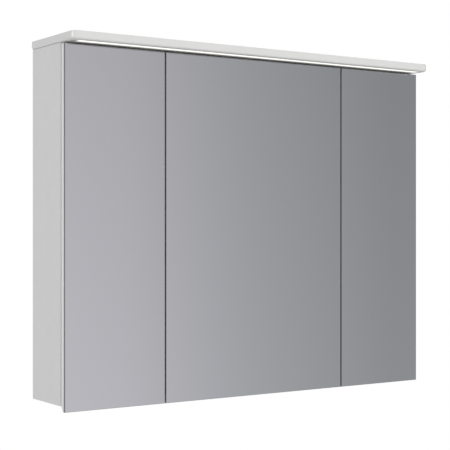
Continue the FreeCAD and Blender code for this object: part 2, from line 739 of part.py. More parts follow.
def switch_body():
    """Housing through the back panel with a bezel in front and a round hollow for the rocker."""
    housing = switch_box(0, BACK_FRONT, BACK_FRONT + SWITCH_DEPTH)
    bezel = switch_box(BEZEL_MARGIN, BACK_FRONT, BACK_FRONT - BEZEL_THICK)
    half = ROCKER_WIDTH / 2.0 + SWING_CLEARANCE
    hollow = rod(
        ELECTRIC_X - half, PIVOT_Y, SWITCH_LEVEL, X_AXIS, ROCKER_RADIUS + SWING_CLEARANCE, 2 * half)
    return cut(housing.fuse(bezel).removeSplitter(), [hollow, trunnions(FIT)])


def switch_rocker():
    """Rocker with two flats that meet in a shallow valley, tipped to its on position."""
    slope = math.tan(math.radians(ROCKER_TILT))
    square = 1.0 + slope ** 2
    root = math.sqrt((ROCKER_FACE * slope) ** 2 + square * (ROCKER_RADIUS ** 2 - ROCKER_FACE ** 2))
    end = (root - ROCKER_FACE * slope) / square
    face = ROCKER_FACE + end * slope
    start = ELECTRIC_X - ROCKER_WIDTH / 2.0

    def point(forward, up):
        return V(start, PIVOT_Y - forward, SWITCH_LEVEL + up)

    profile = Part.Wire([
        Part.LineSegment(point(face, -end), point(ROCKER_FACE, 0)).toShape(),
        Part.LineSegment(point(ROCKER_FACE, 0), point(face, end)).toShape(),
        Part.Arc(point(face, end), point(-ROCKER_RADIUS, 0), point(face, -end)).toShape(),
    ])
    rocker = Part.Face(profile).extrude(V(ROCKER_WIDTH, 0, 0)).fuse(trunnions(0)).removeSplitter()
    rocker.rotate(V(ELECTRIC_X, PIVOT_Y, SWITCH_LEVEL), X_AXIS, ROCKER_TILT)
    return rocker


# Case boards

def back_grooves():
    """Groove for the back panel, all round the inside of the case."""
    half = INNER_HALF + GROOVE_DEPTH
    return box(
        -half, half, BACK_FRONT - FIT, BACK_REAR + FIT,
        BOTTOM_INSIDE - GROOVE_DEPTH, TOP_INSIDE + GROOVE_DEPTH)


def back_panel():
    """Thin back panel in the grooves, with the switch cut-out and the wall screw holes."""
    half = INNER_HALF + GROOVE_DEPTH - SEAT_FIT
    sheet = box(
        -half, half, BACK_FRONT, BACK_REAR,
        BOTTOM_INSIDE - GROOVE_DEPTH + SEAT_FIT, TOP_INSIDE + GROOVE_DEPTH - SEAT_FIT)
    opening = switch_box(SEAT_FIT, BACK_FRONT, BACK_REAR)
    return cut(sheet, [opening] + wall_holes() + hanger_screw_bores())


def joint_bores():
    """Bores of all hidden case joinery."""
    return cam_bolts(FIT) + cam_locks(FIT) + dowels(FIT) + partition_screws(FIT)


def side_board(side):
    """Side board, full height, with groove and bores."""
    name = "left" if side < 0 else "right"
    board = box(side * INNER_HALF, side * HALF_WIDTH, 0, CASE_FRONT, CASE_BOTTOM, CASE_TOP)
    bores = cam_bolts(FIT) + dowels(FIT) + shelf_pin_bores(name) + plate_screw_bores(name)
    return cut(board, [back_grooves()] + bores)


def partition(side):
    """Partition behind a leaf gap, between top and bottom panels."""
    name = "left" if side < 0 else "right"
    board = box(
        side * PARTITION_NEAR, side * PARTITION_FAR, BACK_FRONT, CASE_FRONT, BOTTOM_INSIDE, TOP_INSIDE)
    bores = shelf_pin_bores(name) + shelf_pin_bores("middle") + dowels(FIT) + partition_screws(FIT)
    if side == -DOORS["middle"][2]:
        bores += plate_screw_bores("middle")
    return cut(board, bores)


def cross_panel(low, high):
    """Top or bottom panel between the side boards."""
    board = box(-INNER_HALF, INNER_HALF, 0, CASE_FRONT, low, high)
    return cut(board, [back_grooves()] + joint_bores())


def top_panel():
    """Top panel with the canopy screw bores and the cable's way through."""
    bores = canopy_screw_bores() + [light_cable(CABLE_RADIUS + SWING_CLEARANCE)]
    return cut(cross_panel(TOP_INSIDE, CASE_TOP), bores)


def hanging_rail():
    """Rail behind the back panel that takes the wall screws."""
    rail = box(-INNER_HALF, INNER_HALF, 0, BACK_REAR, -RAIL_HEIGHT / 2.0, TOP_INSIDE)
    return cut(rail, wall_holes() + hanger_screw_bores() + [light_cable(CABLE_RADIUS + SWING_CLEARANCE)])


os.makedirs("parts", exist_ok=True)

save("left_side", [side_board(-1)])
save("right_side", [side_board(1)])
save("top_panel", [top_panel()])
save("bottom_panel", [cross_panel(CASE_BOTTOM, BOTTOM_INSIDE)])
save("left_partition", [partition(-1)])
save("right_partition", [partition(1)])
save("back_panel", [back_panel()])
save("hanging_rail", [hanging_rail()])

save("hanger_plates", hanger_plates())
HANGER_SEAT = BACK_FRONT - HANGER_THICK
HANGER_SCREW_LENGTH = HANGER_THICK + BACK_BOARD + HANGER_SCREW_BITE
save("hanger_screws", [
    screw(x, HANGER_SEAT, 0, Y_AXIS, HANGER_SCREW_LENGTH) for x in hanger_screw_places()])
save("cam_locks", [cut(lock, cam_bolts(FIT)) for lock in cam_locks(0)])
save("cam_bolts", cam_bolts(0))
save("carcass_dowels", dowels(0))
save("partition_screws", partition_screws(0))

for bay in BAYS:
    save("shelf_pins_" + bay, shelf_pins(bay, SHELF_PIN_RADIUS, SHELF_PIN_DEPTH, SHELF_PIN_OUT))
    for number, level in enumerate(shelf_levels(), start=1):
        save("glass_shelf_" + bay + "_" + str(number), [shelf(bay, level)])

save("canopy_board", [canopy_board()])
save("canopy_screws", [
    screw(x, y, TOP_INSIDE, Z_AXIS, BOARD + CANOPY_SCREW_BITE, WOOD_SCREW_RADIUS, WOOD_SCREW_HEAD_RADIUS)
    for x, y in canopy_screw_places()])
save("led_channel", [light_channel()])
save("led_end_caps", light_end_caps())
save("led_strip", [light_strip()])
save("led_diffuser", [light_diffuser()])

save("led_driver", [driver()])
save("terminal_block", [terminal_block()])
save("led_cable", [light_cable(CABLE_RADIUS)])
save("switch_cable", [switch_cable(CABLE_RADIUS)])
save("cable_clips", cable_clips())
save("switch_body", [switch_body()])
save("switch_rocker", [switch_rocker()])

ALL_HINGE_SCREWS = []
for door in DOORS:
    save("door_panel_" + door, [door_panel(door)])
    save("mirror_" + door, [door_mirror(door)])
    save("hinge_cups_" + door, at_hinges(door, hinge_cup()))
    save("hinge_pins_" + door, at_hinges(door, hinge_pin()))
    save("cup_screws_" + door, cup_screws(door))
    save("hinge_arms_" + door, at_hinges(door, hinge_arm()))
    save("hinge_plates_" + door, at_hinges(door, hinge_plate(DOORS[door][3])))
    ALL_HINGE_SCREWS += hinge_screws(door)
save("hinge_screws", ALL_HINGE_SCREWS)
save("door_bumpers", door_bumpers())
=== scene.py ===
"""A wall-hung mirror cabinet with three doors and a lit canopy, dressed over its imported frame."""

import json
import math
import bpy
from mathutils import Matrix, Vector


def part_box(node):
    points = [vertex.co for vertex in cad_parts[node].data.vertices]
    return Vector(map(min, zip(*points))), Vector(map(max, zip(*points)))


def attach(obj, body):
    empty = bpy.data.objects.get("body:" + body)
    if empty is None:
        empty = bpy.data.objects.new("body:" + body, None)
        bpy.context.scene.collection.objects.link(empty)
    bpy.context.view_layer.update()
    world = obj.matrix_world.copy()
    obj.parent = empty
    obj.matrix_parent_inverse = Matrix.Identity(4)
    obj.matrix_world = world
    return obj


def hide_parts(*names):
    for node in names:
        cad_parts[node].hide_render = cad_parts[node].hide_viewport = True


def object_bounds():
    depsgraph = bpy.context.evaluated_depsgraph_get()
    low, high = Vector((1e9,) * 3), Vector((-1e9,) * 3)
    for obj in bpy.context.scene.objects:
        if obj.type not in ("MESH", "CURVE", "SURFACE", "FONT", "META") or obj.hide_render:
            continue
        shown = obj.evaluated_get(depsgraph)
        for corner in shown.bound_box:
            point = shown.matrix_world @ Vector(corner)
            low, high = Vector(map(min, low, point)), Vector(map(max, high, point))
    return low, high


bl_info = {
    "name": "Mirror Cabinet",
    "version": (1, 0, 0),
    "blender": (4, 5, 0),
    "location": "3D View > Sidebar > Cabinet",
    "description": "Dresses a three-door mirror cabinet with a lit canopy",
    "category": "Object",
}

from functools import lru_cache

import bmesh
import bpy
from bpy.props import FloatProperty, FloatVectorProperty, PointerProperty
from bpy.types import NodeSocket, Operator, Panel, PropertyGroup
from mathutils import Matrix, Vector

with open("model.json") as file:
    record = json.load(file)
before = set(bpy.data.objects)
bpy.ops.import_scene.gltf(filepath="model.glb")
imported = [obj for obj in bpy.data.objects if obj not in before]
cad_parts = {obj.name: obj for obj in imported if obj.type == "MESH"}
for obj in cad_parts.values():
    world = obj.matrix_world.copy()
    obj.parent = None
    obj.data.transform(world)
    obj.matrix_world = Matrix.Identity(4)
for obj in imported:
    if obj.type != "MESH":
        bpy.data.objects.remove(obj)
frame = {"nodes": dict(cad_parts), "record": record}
CAD_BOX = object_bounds()
NODES = frame["nodes"]
RECORD = frame["record"]
BODY_OF = {node: body for body, nodes in RECORD["behaviour"]["bodies"].items() for node in nodes}

DOORS = ("left", "middle", "right")
MM = 0.001
TURN = 2.0 * math.pi
QUARTER = TURN / 4.0


# Settings that a user would change

def size_setting(name, description, default):
    """A length that can be changed."""
    return FloatProperty(name=name, description=description, default=default, min=0.0, unit="LENGTH")


def colour_setting(name, description, default):
    """A colour that can be changed."""
    return FloatVectorProperty(
        name=name, description=description, default=default, min=0.0, max=1.0, subtype="COLOR")


class CaseSettings(PropertyGroup):
    """Boards, back panel and shelves."""
    board_colour: colour_setting("Board", "Melamine facing of the case boards", (0.745, 0.745, 0.742))
    hardboard_colour: colour_setting("Hardboard", "Bare rear face of the back panel", (0.34, 0.215, 0.125))
    glass_edge_colour: colour_setting("Shelf edge", "Ground edges of the glass shelves", (0.50, 0.74, 0.66))
    board_edge: size_setting("Board edge", "Rounding of the boards' outer edges", 0.3 * MM)
    glass_edge: size_setting("Glass edge", "Arris on the glass shelves", 0.7 * MM)


class DoorSettings(PropertyGroup):
    """Door panels, mirrors and hinges."""
    lacquer_colour: colour_setting("Lacquer", "White lacquer of the door panels", (0.86, 0.86, 0.855))
    silver_colour: colour_setting("Silver", "Silvering seen through the pane", (0.905, 0.905, 0.915))
    pane_edge_colour: colour_setting("Pane edge", "Ground edge of the mirror panes", (0.215, 0.225, 0.225))
    nickel_colour: colour_setting("Nickel", "Plating of the hinges", (0.74, 0.725, 0.695))
    panel_edge: size_setting("Panel edge", "Rounding of the door panels", 0.4 * MM)
    seam_edge: size_setting("Seam", "Rounding of the door panels along their panes", 1.5 * MM)
    fitting_edge: size_setting("Fitting edge", "Rounding of the pressed hinge pieces", 0.5 * MM)


class CanopySettings(PropertyGroup):
    """Canopy board and its light."""
    foil_colour: colour_setting("Foil", "White foil of the canopy", (0.795, 0.792, 0.782))
    light_colour: colour_setting("Light", "Warm white of the light band", (1.0, 0.975, 0.90))
    lower_round: size_setting("Lower round", "Rounding of the lower front edge", 5.0 * MM)
    side_round: size_setting("Side round", "Width of the lower edge's rounding at the sides", 8.0 * MM)
    upper_round: size_setting("Upper round", "Rounding of the upper front edge", 2.5 * MM)
    corner_round: size_setting("Corner", "Plan radius of the front corners", 15.0 * MM)


class StudioSettings(PropertyGroup):
    """Stage, lamps and camera."""
    floor_drop: size_setting("Floor", "Height of the cabinet's doors above the floor", 1.25)
    sweep_radius: size_setting("Sweep", "Radius of the round backdrop", 6.5)
    camera_place: FloatVectorProperty(
        name="Camera", description="Where the camera stands", default=(-1.64402, -2.48891, -0.33727),
        subtype="XYZ", unit="LENGTH")
    camera_heading: FloatProperty(
        name="Heading", description="Turn of the level camera to the right of straight on",
        default=math.radians(33.69), subtype="ANGLE")
    lens: FloatProperty(name="Lens", description="Focal length of the camera", default=97.48, unit="CAMERA")


def case():
    """Settings of the case."""
    return bpy.context.scene.cabinet_case


def doors():
    """Settings of the doors."""
    return bpy.context.scene.cabinet_doors


def canopy():
    """Settings of the canopy."""
    return bpy.context.scene.cabinet_canopy


def studio():
    """Settings of the stage."""
    return bpy.context.scene.cabinet_studio


# Shader building

EVEN = (1.0, 1.0, 1.0)
# Most of a noise lies between these values
NOISE_SPAN = (0.3, 0.7)
RELIEF_DETAIL = 3.0
CLOUD_DETAIL = 4.0
# Size of a finish's clouds in tone against the size of its relief
CLOUD_SIZE = 40.0


def feed(tree, node, **inputs):
    """Link or set some inputs of a shader node."""
    for key, value in inputs.items():
        socket = node.inputs[key.replace("_", " ")]
        if isinstance(value, NodeSocket):
            tree.links.new(value, socket)
        else:
            socket.default_value = value


def add(tree, kind, **inputs):
    """A new shader node, with its inputs linked or set."""
    node = tree.nodes.new(kind)
    feed(tree, node, **inputs)
    return node


def own_place(tree):
    """Coordinates on the piece itself."""
    return tree.nodes.new("ShaderNodeTexCoord").outputs["Object"]


def grain(tree, size, stretch=EVEN, detail=RELIEF_DETAIL):
    """Noise in the piece's own coordinates, whose features have the given size."""
    scale = [1.0 / (size * factor) for factor in stretch]
    mapping = add(tree, "ShaderNodeMapping", Vector=own_place(tree), Scale=scale)
    noise = add(tree, "ShaderNodeTexNoise", Vector=mapping.outputs["Vector"], Scale=1.0, Detail=detail)
    return noise.outputs["Fac"]


def between(tree, factor, low, high):
    """A value that follows a noise between two limits."""
    start, end = NOISE_SPAN
    node = add(
        tree, "ShaderNodeMapRange", Value=factor, From_Min=start, From_Max=end, To_Min=low, To_Max=high)
    return node.outputs["Result"]


def ramp(tree, factor, stops):
    """A colour that follows a value through the given stops of place and colour."""
    node = add(tree, "ShaderNodeValToRGB", Fac=factor)
    elements = node.color_ramp.elements
    while len(elements) < len(stops):
        elements.new(1.0)
    for element, (place, colour) in zip(elements, stops):
        element.position = place
        element.color = (*colour, 1.0)
    return node.outputs["Color"]


def greys(stops):
    """Stops of place and colour from stops of place and grey."""
    return [(place, (value,) * 3) for place, value in stops]


def tone(colour, factor):
    """A colour made darker or lighter."""
    return tuple(min(1.0, channel * factor) for channel in colour)


def start_material(name):
    """A new material with its tree and main shader."""
    material = bpy.data.materials.new(name)
    material.use_nodes = True
    tree = material.node_tree
    return material, tree, tree.nodes["Principled BSDF"]


def surface(name, colour, roughness, size, depth, stretch=EVEN, mottle=0.03, spread=0.05, **sockets):
    """A finish with fine relief of a given size and depth, slightly uneven in tone and gloss."""
    material, tree, shader = start_material(name)
    fine = grain(tree, size, stretch)
    cloudy = grain(tree, size * CLOUD_SIZE, stretch, CLOUD_DETAIL)
    tones = (tone(colour, 1.0 - mottle), tone(colour, 1.0 + mottle))
    paint = ramp(tree, cloudy, list(zip(NOISE_SPAN, tones)))
    rough = between(tree, fine, roughness - spread, roughness + spread)
    relief = add(tree, "ShaderNodeBump", Strength=1.0, Distance=depth, Height=fine)
    feed(tree, shader, Base_Color=paint, Roughness=rough, Normal=relief.outputs["Normal"], **sockets)
    return material


# Finishes

GLASS_IOR = 1.52
RUBBER_IOR = 1.45
PLASTICS = {
    "circuit_white": (0.80, 0.80, 0.76),
    "driver_white": (0.74, 0.74, 0.72),
    "inlet_grey": (0.30, 0.31, 0.32),
    "clip_white": (0.72, 0.72, 0.70),
    "switch_white": (0.78, 0.78, 0.77),
}
# Bare board: wood chips along a metre, and their tones from dark to light
CHIPS_PER_METRE = 620.0
CHIP_TONES = ((0.0, (0.26, 0.17, 0.09)), (0.45, (0.50, 0.36, 0.21)), (1.0, (0.66, 0.52, 0.34)))
# Light band: pitch of its light chips, and the light between two of them against that over one
LIGHT_PITCH = 33.0 * MM
LIGHT_BETWEEN = 0.965
# Light of the cover by its depth, from its front edge to its back edge
COVER_STOPS = ((0.0, 0.2), (0.22, 1.1), (0.48, 1.1), (1.0, 0.1))
COVER_COLOUR = (0.45, 0.45, 0.44)
COVER_HAZE = 3.0 * MM
COVER_ROUGHNESS = (0.4, 0.5)
# Radians that a wave texture turns in one unit of its scale
WAVE_RATE = 20.0


@lru_cache(maxsize=None)
def melamine():
    """White board facing with a fine pearl texture."""
    return surface(
        "white_melamine", case().board_colour, roughness=0.42, size=0.9 * MM, depth=0.012 * MM, mottle=0.012)


@lru_cache(maxsize=None)
def edge_band():
    """Plastic band on the boards' front edges, a little glossier than the facing."""
    return surface(
        "edge_band", tone(case().board_colour, 1.02), roughness=0.34, size=0.5 * MM, depth=0.006 * MM,
        mottle=0.01)


@lru_cache(maxsize=None)
def chipboard():
    """Bare rear edges of the boards, pressed from wood chips."""
    material, tree, shader = start_material("bare_chipboard")
    chips = add(tree, "ShaderNodeTexVoronoi", Vector=own_place(tree), Scale=CHIPS_PER_METRE)
    paint = ramp(tree, chips.outputs["Color"], CHIP_TONES)
    relief = add(
        tree, "ShaderNodeBump", Strength=0.8, Distance=0.15 * MM, Height=chips.outputs["Distance"])
    feed(tree, shader, Base_Color=paint, Normal=relief.outputs["Normal"], Roughness=0.85)
    return material


@lru_cache(maxsize=None)
def hardboard():
    """Bare hardboard with matted fibres."""
    return surface(
        "bare_hardboard", case().hardboard_colour, roughness=0.72, size=0.8 * MM, depth=0.03 * MM,
        stretch=(2.5, 1.0, 1.0), mottle=0.05)


@lru_cache(maxsize=None)
def back_lacquer():
    """Thin white print on the inside of the back panel."""
    return surface(
        "back_lacquer", case().board_colour, roughness=0.5, size=1.2 * MM, depth=0.01 * MM, mottle=0.015)


@lru_cache(maxsize=None)
def shelf_glass():
    """Clear glass with a faint green cast."""
    return surface(
        "shelf_glass", (0.93, 0.975, 0.955), roughness=0.015, size=30.0 * MM, depth=0.004 * MM,
        mottle=0.006, spread=0.01, Transmission_Weight=1.0, IOR=GLASS_IOR)


@lru_cache(maxsize=None)
def shelf_edge():
    """Ground and polished glass edge, where the green shows."""
    return surface(
        "shelf_edge", case().glass_edge_colour, roughness=0.22, size=0.6 * MM, depth=0.01 * MM,
        stretch=(1.0, 1.0, 0.4), mottle=0.06, Transmission_Weight=0.55, IOR=GLASS_IOR)


@lru_cache(maxsize=None)
def lacquer():
    """Smooth white door lacquer with a slight orange peel."""
    return surface(
        "door_lacquer", doors().lacquer_colour, roughness=0.3, size=2.2 * MM, depth=0.003 * MM,
        mottle=0.01, spread=0.02, Coat_Weight=0.15, Coat_Roughness=0.2)


@lru_cache(maxsize=None)
def silver():
    """Silvered pane with the faint waviness of float glass."""
    return surface(
        "mirror_silver", doors().silver_colour, roughness=0.02, size=60.0 * MM, depth=0.0015 * MM,
        mottle=0.004, spread=0.008, Metallic=1.0)


@lru_cache(maxsize=None)
def arris():
    """Ground bevel round the face of a pane, kept darker than its edge with painted shade so the gaps
    between the leaves read dark.
    """
    # Painted shade: the arris is toned well below the pane edge so that the gaps between the door leaves
    # look dark.
    return surface(
        "mirror_arris_painted_shade", tone(doors().pane_edge_colour, 0.4), roughness=0.35, size=0.4 * MM,
        depth=0.01 * MM, mottle=0.05, IOR=GLASS_IOR)


@lru_cache(maxsize=None)
def pane_edge():
    """Ground pane edge, grey green where the silvering shines through."""
    return surface(
        "mirror_edge", doors().pane_edge_colour, roughness=0.4, size=0.35 * MM, depth=0.012 * MM,
        stretch=(1.0, 1.0, 3.0), mottle=0.08, IOR=GLASS_IOR)


@lru_cache(maxsize=None)
def pane_back():
    """Protective paint on the back of a pane."""
    return surface(
        "mirror_paint", (0.20, 0.22, 0.24), roughness=0.6, size=1.5 * MM, depth=0.03 * MM, mottle=0.08)


@lru_cache(maxsize=None)
def foil():
    """White canopy foil under a smooth clear coat."""
    return surface(
        "canopy_foil", canopy().foil_colour, roughness=0.45, size=1.6 * MM, depth=0.008 * MM, mottle=0.01,
        Coat_Weight=1.0, Coat_Roughness=0.05, Coat_IOR=1.7)


@lru_cache(maxsize=None)
def opal():
    """Lit milky cover, brightest over its light chips and dimmer towards its front and back edges; on the
    end caps this glow is painted light.
    """
    material, tree, shader = start_material("lit_opal")
    light = canopy().light_colour
    place = own_place(tree)
    scale = (TURN / LIGHT_PITCH / WAVE_RATE, 0.0, 0.0)
    mapping = add(tree, "ShaderNodeMapping", Vector=place, Scale=scale)
    chips = add(tree, "ShaderNodeTexWave", Vector=mapping.outputs["Vector"], Scale=1.0)
    chips.wave_profile = "SIN"
    colour = ramp(tree, chips.outputs["Fac"], ((0.0, tone(light, LIGHT_BETWEEN)), (1.0, light)))
    low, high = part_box("led_diffuser")
    depth = add(tree, "ShaderNodeSeparateXYZ", Vector=place).outputs["Y"]
    across = add(tree, "ShaderNodeMapRange", Value=depth, From_Min=low.y, From_Max=high.y)
    glow = ramp(tree, across.outputs["Result"], greys(COVER_STOPS))
    rough = between(tree, grain(tree, COVER_HAZE), *COVER_ROUGHNESS)
    feed(
        tree, shader, Base_Color=(*COVER_COLOUR, 1.0), Roughness=rough, Emission_Color=colour,
        Emission_Strength=glow)
    return material


@lru_cache(maxsize=None)
def nickel():
    """Bright nickel plate over pressed steel."""
    return surface(
        "nickel_plate", doors().nickel_colour, roughness=0.26, size=0.7 * MM, depth=0.002 * MM,
        mottle=0.02, spread=0.03, Metallic=1.0)


@lru_cache(maxsize=None)
def pin_steel():
    """Drawn steel with fine lines along the hinge pins."""
    return surface(
        "drawn_steel", (0.56, 0.56, 0.57), roughness=0.3, size=0.25 * MM, depth=0.006 * MM,
        stretch=(1.0, 1.0, 12.0), mottle=0.06, Metallic=1.0)


@lru_cache(maxsize=None)
def screw_zinc():
    """Zinc-plated screw steel with a faint cloudy passivation."""
    return surface(
        "screw_zinc", (0.60, 0.605, 0.60), roughness=0.36, size=0.4 * MM, depth=0.01 * MM, mottle=0.1,
        spread=0.1, Metallic=1.0)


@lru_cache(maxsize=None)
def cast_zinc():
    """Die-cast zinc of the cam locks."""
    return surface(
        "cast_zinc", (0.50, 0.51, 0.53), roughness=0.48, size=0.5 * MM, depth=0.03 * MM, mottle=0.08,
        Metallic=1.0)


@lru_cache(maxsize=None)
def aluminium():
    """Anodised channel profile with drawing lines along its length."""
    return surface(
        "anodised_aluminium", (0.72, 0.725, 0.735), roughness=0.38, size=0.3 * MM, depth=0.006 * MM,
        stretch=(60.0, 1.0, 1.0), Metallic=1.0)


@lru_cache(maxsize=None)
def beech():
    """Beech dowels with short darker flecks along the grain."""
    return surface(
        "beech_dowel", (0.62, 0.42, 0.24), roughness=0.6, size=0.5 * MM, depth=0.04 * MM,
        stretch=(8.0, 1.0, 1.0), mottle=0.14)


@lru_cache(maxsize=None)
def moulded(name, roughness=0.45):
    """Moulded plastic with a fine spark-eroded texture."""
    return surface(
        name, PLASTICS[name], roughness=roughness, size=0.35 * MM, depth=0.012 * MM, mottle=0.025)


@lru_cache(maxsize=None)
def sheath():
    """White cable sheath with a slight waviness along it."""
    return surface(
        "cable_sheath", (0.70, 0.70, 0.69), roughness=0.42, size=2.0 * MM, depth=0.02 * MM,
        stretch=(1.0, 1.0, 4.0))


@lru_cache(maxsize=None)
def soft_pad():
    """Clear-grey soft door bumper."""
    return surface(
        "soft_pad", (0.72, 0.73, 0.73), roughness=0.35, size=0.4 * MM, depth=0.01 * MM, mottle=0.05,
        Transmission_Weight=0.35, IOR=RUBBER_IOR)


# Mesh building

# Points closer than WELD are one, and a point closer than ON_FACE to a face lies on it
WELD = 0.002 * MM
ON_FACE = 0.01 * MM
# Faces that turn less than FLAT_ANGLE are one, and an edge that turns more than SHARP_ANGLE shows as an edge
FLAT_ANGLE = math.radians(1.0)
SHARP_ANGLE = math.radians(38.0)
SQUARE_ANGLE = math.radians(85.0)
ROUND_PROFILE = 0.5
UPWARD = Vector((0.0, 0.0, 1.0))


def welded(node):
    """The mesh of a frame node with its seams closed and its flat faces whole."""
    shape = bmesh.new()
    shape.from_mesh(NODES[node].data)
    bmesh.ops.remove_doubles(shape, verts=shape.verts, dist=WELD)
    bmesh.ops.dissolve_limit(shape, angle_limit=FLAT_ANGLE, verts=shape.verts, edges=shape.edges)
    return shape


def outer_edges(shape):
    """Edges that lie along the edges of the shape's box."""
    places = [vertex.co for vertex in shape.verts]
    low = [min(place[axis] for place in places) for axis in range(3)]
    high = [max(place[axis] for place in places) for axis in range(3)]

    def sides(vertex):
        found = set()
        for axis in range(3):
            if abs(vertex.co[axis] - low[axis]) < ON_FACE:
                found.add((axis, 0))
            if abs(vertex.co[axis] - high[axis]) < ON_FACE:
                found.add((axis, 1))
        return found

    return [edge for edge in shape.edges if len(sides(edge.verts[0]) & sides(edge.verts[1])) == 2]


def sharp_edges(shape, shortest):
    """Convex edges between clearly turned faces, longer than a length."""
    found = []
    for edge in shape.edges:
        if len(edge.link_faces) == 2 and edge.is_convex and edge.calc_length() > shortest:
            if edge.calc_face_angle() > SHARP_ANGLE:
                found.append(edge)
    return found


def rounded(shape, edges, radius, segments=3):
    """The shape with some of its edges rounded."""
    bmesh.ops.bevel(
        shape, geom=edges, offset=radius, segments=segments, profile=ROUND_PROFILE, affect="EDGES",
        clamp_overlap=True)
    bmesh.ops.dissolve_degenerate(shape, dist=WELD, edges=shape.edges)
    return shape


def put(name, shape, node, *materials):
    """A finished piece that stands for a frame node and rides with it."""
    mesh = bpy.data.meshes.new(name)
    shape.normal_update()
    shape.to_mesh(mesh)
    shape.free()
    for material in materials:
        mesh.materials.append(material)
    mesh.shade_smooth()
    mesh.set_sharp_from_angle(angle=SHARP_ANGLE)
    piece = bpy.data.objects.new(name, mesh)
    bpy.context.scene.collection.objects.link(piece)
    even = piece.modifiers.new("even_normals", "WEIGHTED_NORMAL")
    even.keep_sharp = True
    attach(piece, BODY_OF[node])
    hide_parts(node)
    return piece


def dress(node, material):
    """A finish on a frame node that keeps its own shape."""
    mesh = NODES[node].data
    mesh.materials.clear()
    mesh.materials.append(material)


def box_shape(low, high):
    """A box between two corners."""
    shape = bmesh.new()
    middle = (Vector(low) + Vector(high)) / 2.0
    scale = Matrix.Diagonal((*(Vector(high) - Vector(low)), 1.0))
    bmesh.ops.create_cube(shape, size=1.0, matrix=Matrix.Translation(middle) @ scale)
    return shape


def join(shapes):
    """One shape made of several."""
    whole = bmesh.new()
    for shape in shapes:
        mesh = bpy.data.meshes.new("joining")
        shape.to_mesh(mesh)
        shape.free()
        whole.from_mesh(mesh)
        bpy.data.meshes.remove(mesh)
    return whole


def ring(shape, points):
    """A closed loop of new vertices."""
    return [shape.verts.new(point) for point in points]


def ring_edges(shape, *rings):
    """The edges along some closed loops of vertices."""
    return [shape.edges.get(pair) for loop in rings for pair in zip(loop, loop[1:] + loop[:1])]


def skirt(shape, lower, upper):
    """Faces between two loops with as many points."""
    count = len(lower)
    for i in range(count):
        j = (i + 1) % count
        shape.faces.new((lower[i], lower[j], upper[j], upper[i]))


def circle(radius, level, count):
    """Points on a circle about the Z axis."""
    angles = [TURN * i / count for i in range(count)]
    return [(radius * math.cos(angle), radius * math.sin(angle), level) for angle in angles]


# Turned pieces

SCREW_SIDES = 40
PIN_SIDES = 24
# Cross recess: reach and half width of its mouth and floor, and its depth, against the radius of its end
CROSS_MOUTH = (0.72, 0.17)
CROSS_FLOOR = (0.5, 0.12)
CROSS_DEPTH = 0.45
# Screw: radius and level of its pan head against the head's own, and its tip against the shank
PAN_HEAD = ((1.0, 0.0), (1.0, 0.35), (0.95, 0.72), (0.8, 1.0))
TIP_LENGTH = 1.6
TIP_RADIUS = 0.12
TIP_LIMIT = 0.4
# Points that reach this share of a plain screw's largest radius belong to its head
HEAD_SHARE = 0.98


def turned_wall(shape, profile, count):
    """Wall and lower end of a turned shape about the Z axis, and the loop round its open upper end."""
    loops = [ring(shape, circle(radius, level, count)) for radius, level in profile]
    for lower, upper in zip(loops, loops[1:]):
        skirt(shape, lower, upper)
    shape.faces.new(list(reversed(loops[0])))
    return loops[-1]


def lathe(profile):
    """A closed turned shape about the Z axis, from points of radius and level, bottom first."""
    shape = bmesh.new()
    shape.faces.new(turned_wall(shape, profile, PIN_SIDES))
    return shape


def cross_outline(reach, half_width, level):
    """Corner points of a plain cross, counter-clockwise."""
    points = []
    for quarter in range(4):
        turn = Matrix.Rotation(quarter * QUARTER, 2)
        for corner in ((reach, -half_width), (reach, half_width), (half_width, half_width)):
            points.append((*(turn @ Vector(corner)), level))
    return points


def cross_head(profile):
    """A turned shape like lathe makes, with a cross-shaped recess in its upper end."""
    shape = bmesh.new()
    rim = turned_wall(shape, profile, SCREW_SIDES)
    radius, top = profile[-1]
    bottom = top - radius * CROSS_DEPTH
    mouth = ring(shape, cross_outline(*(radius * share for share in CROSS_MOUTH), top))
    floor = ring(shape, cross_outline(*(radius * share for share in CROSS_FLOOR), bottom))
    skirt(shape, floor, mouth)
    shape.faces.new(floor)
    bmesh.ops.triangle_fill(shape, edges=ring_edges(shape, rim, mouth), use_beauty=True, normal=UPWARD)
    bmesh.ops.recalc_face_normals(shape, faces=shape.faces)
    return shape


def screw_shape(head_radius, head_height, shank_radius, length):
    """A pan-head screw with its seat at the origin and its head above."""
    tip = min(shank_radius * TIP_LENGTH, length * TIP_LIMIT)
    shank = [(shank_radius * TIP_RADIUS, -length), (shank_radius, -length + tip), (shank_radius, 0.0)]
    head = [(head_radius * across, head_height * level) for across, level in PAN_HEAD]
    return cross_head(shank + head)


def solids(node):
    """Corner points of each separate solid in a node."""
    shape = welded(node)
    waiting = set(shape.verts)
    groups = []
    for first in shape.verts:
        if first not in waiting:
            continue
        waiting.remove(first)
        found = [first]
        group = []
        while found:
            vertex = found.pop()
            group.append(vertex.co.copy())
            for edge in vertex.link_edges:
                other = edge.other_vert(vertex)
                if other in waiting:
                    waiting.remove(other)
                    found.append(other)
        groups.append(group)
    shape.free()
    return groups


def turned_solid(points):
    """Axis, middle, two ends, and each point's place and radius, of a solid turned about X, Y or Z."""
    low = Vector([min(point[axis] for point in points) for axis in range(3)])
    high = Vector([max(point[axis] for point in points) for axis in range(3)])
    size = high - low
    pairs = [(abs(size[(axis + 1) % 3] - size[(axis + 2) % 3]), axis) for axis in range(3)]
    axis = min(pairs)[1]
    middle = (low + high) / 2.0
    across = [(axis + 1) % 3, (axis + 2) % 3]
    radii = [(point[axis], math.hypot(*(point[i] - middle[i] for i in across))) for point in points]
    return axis, middle, low[axis], high[axis], radii


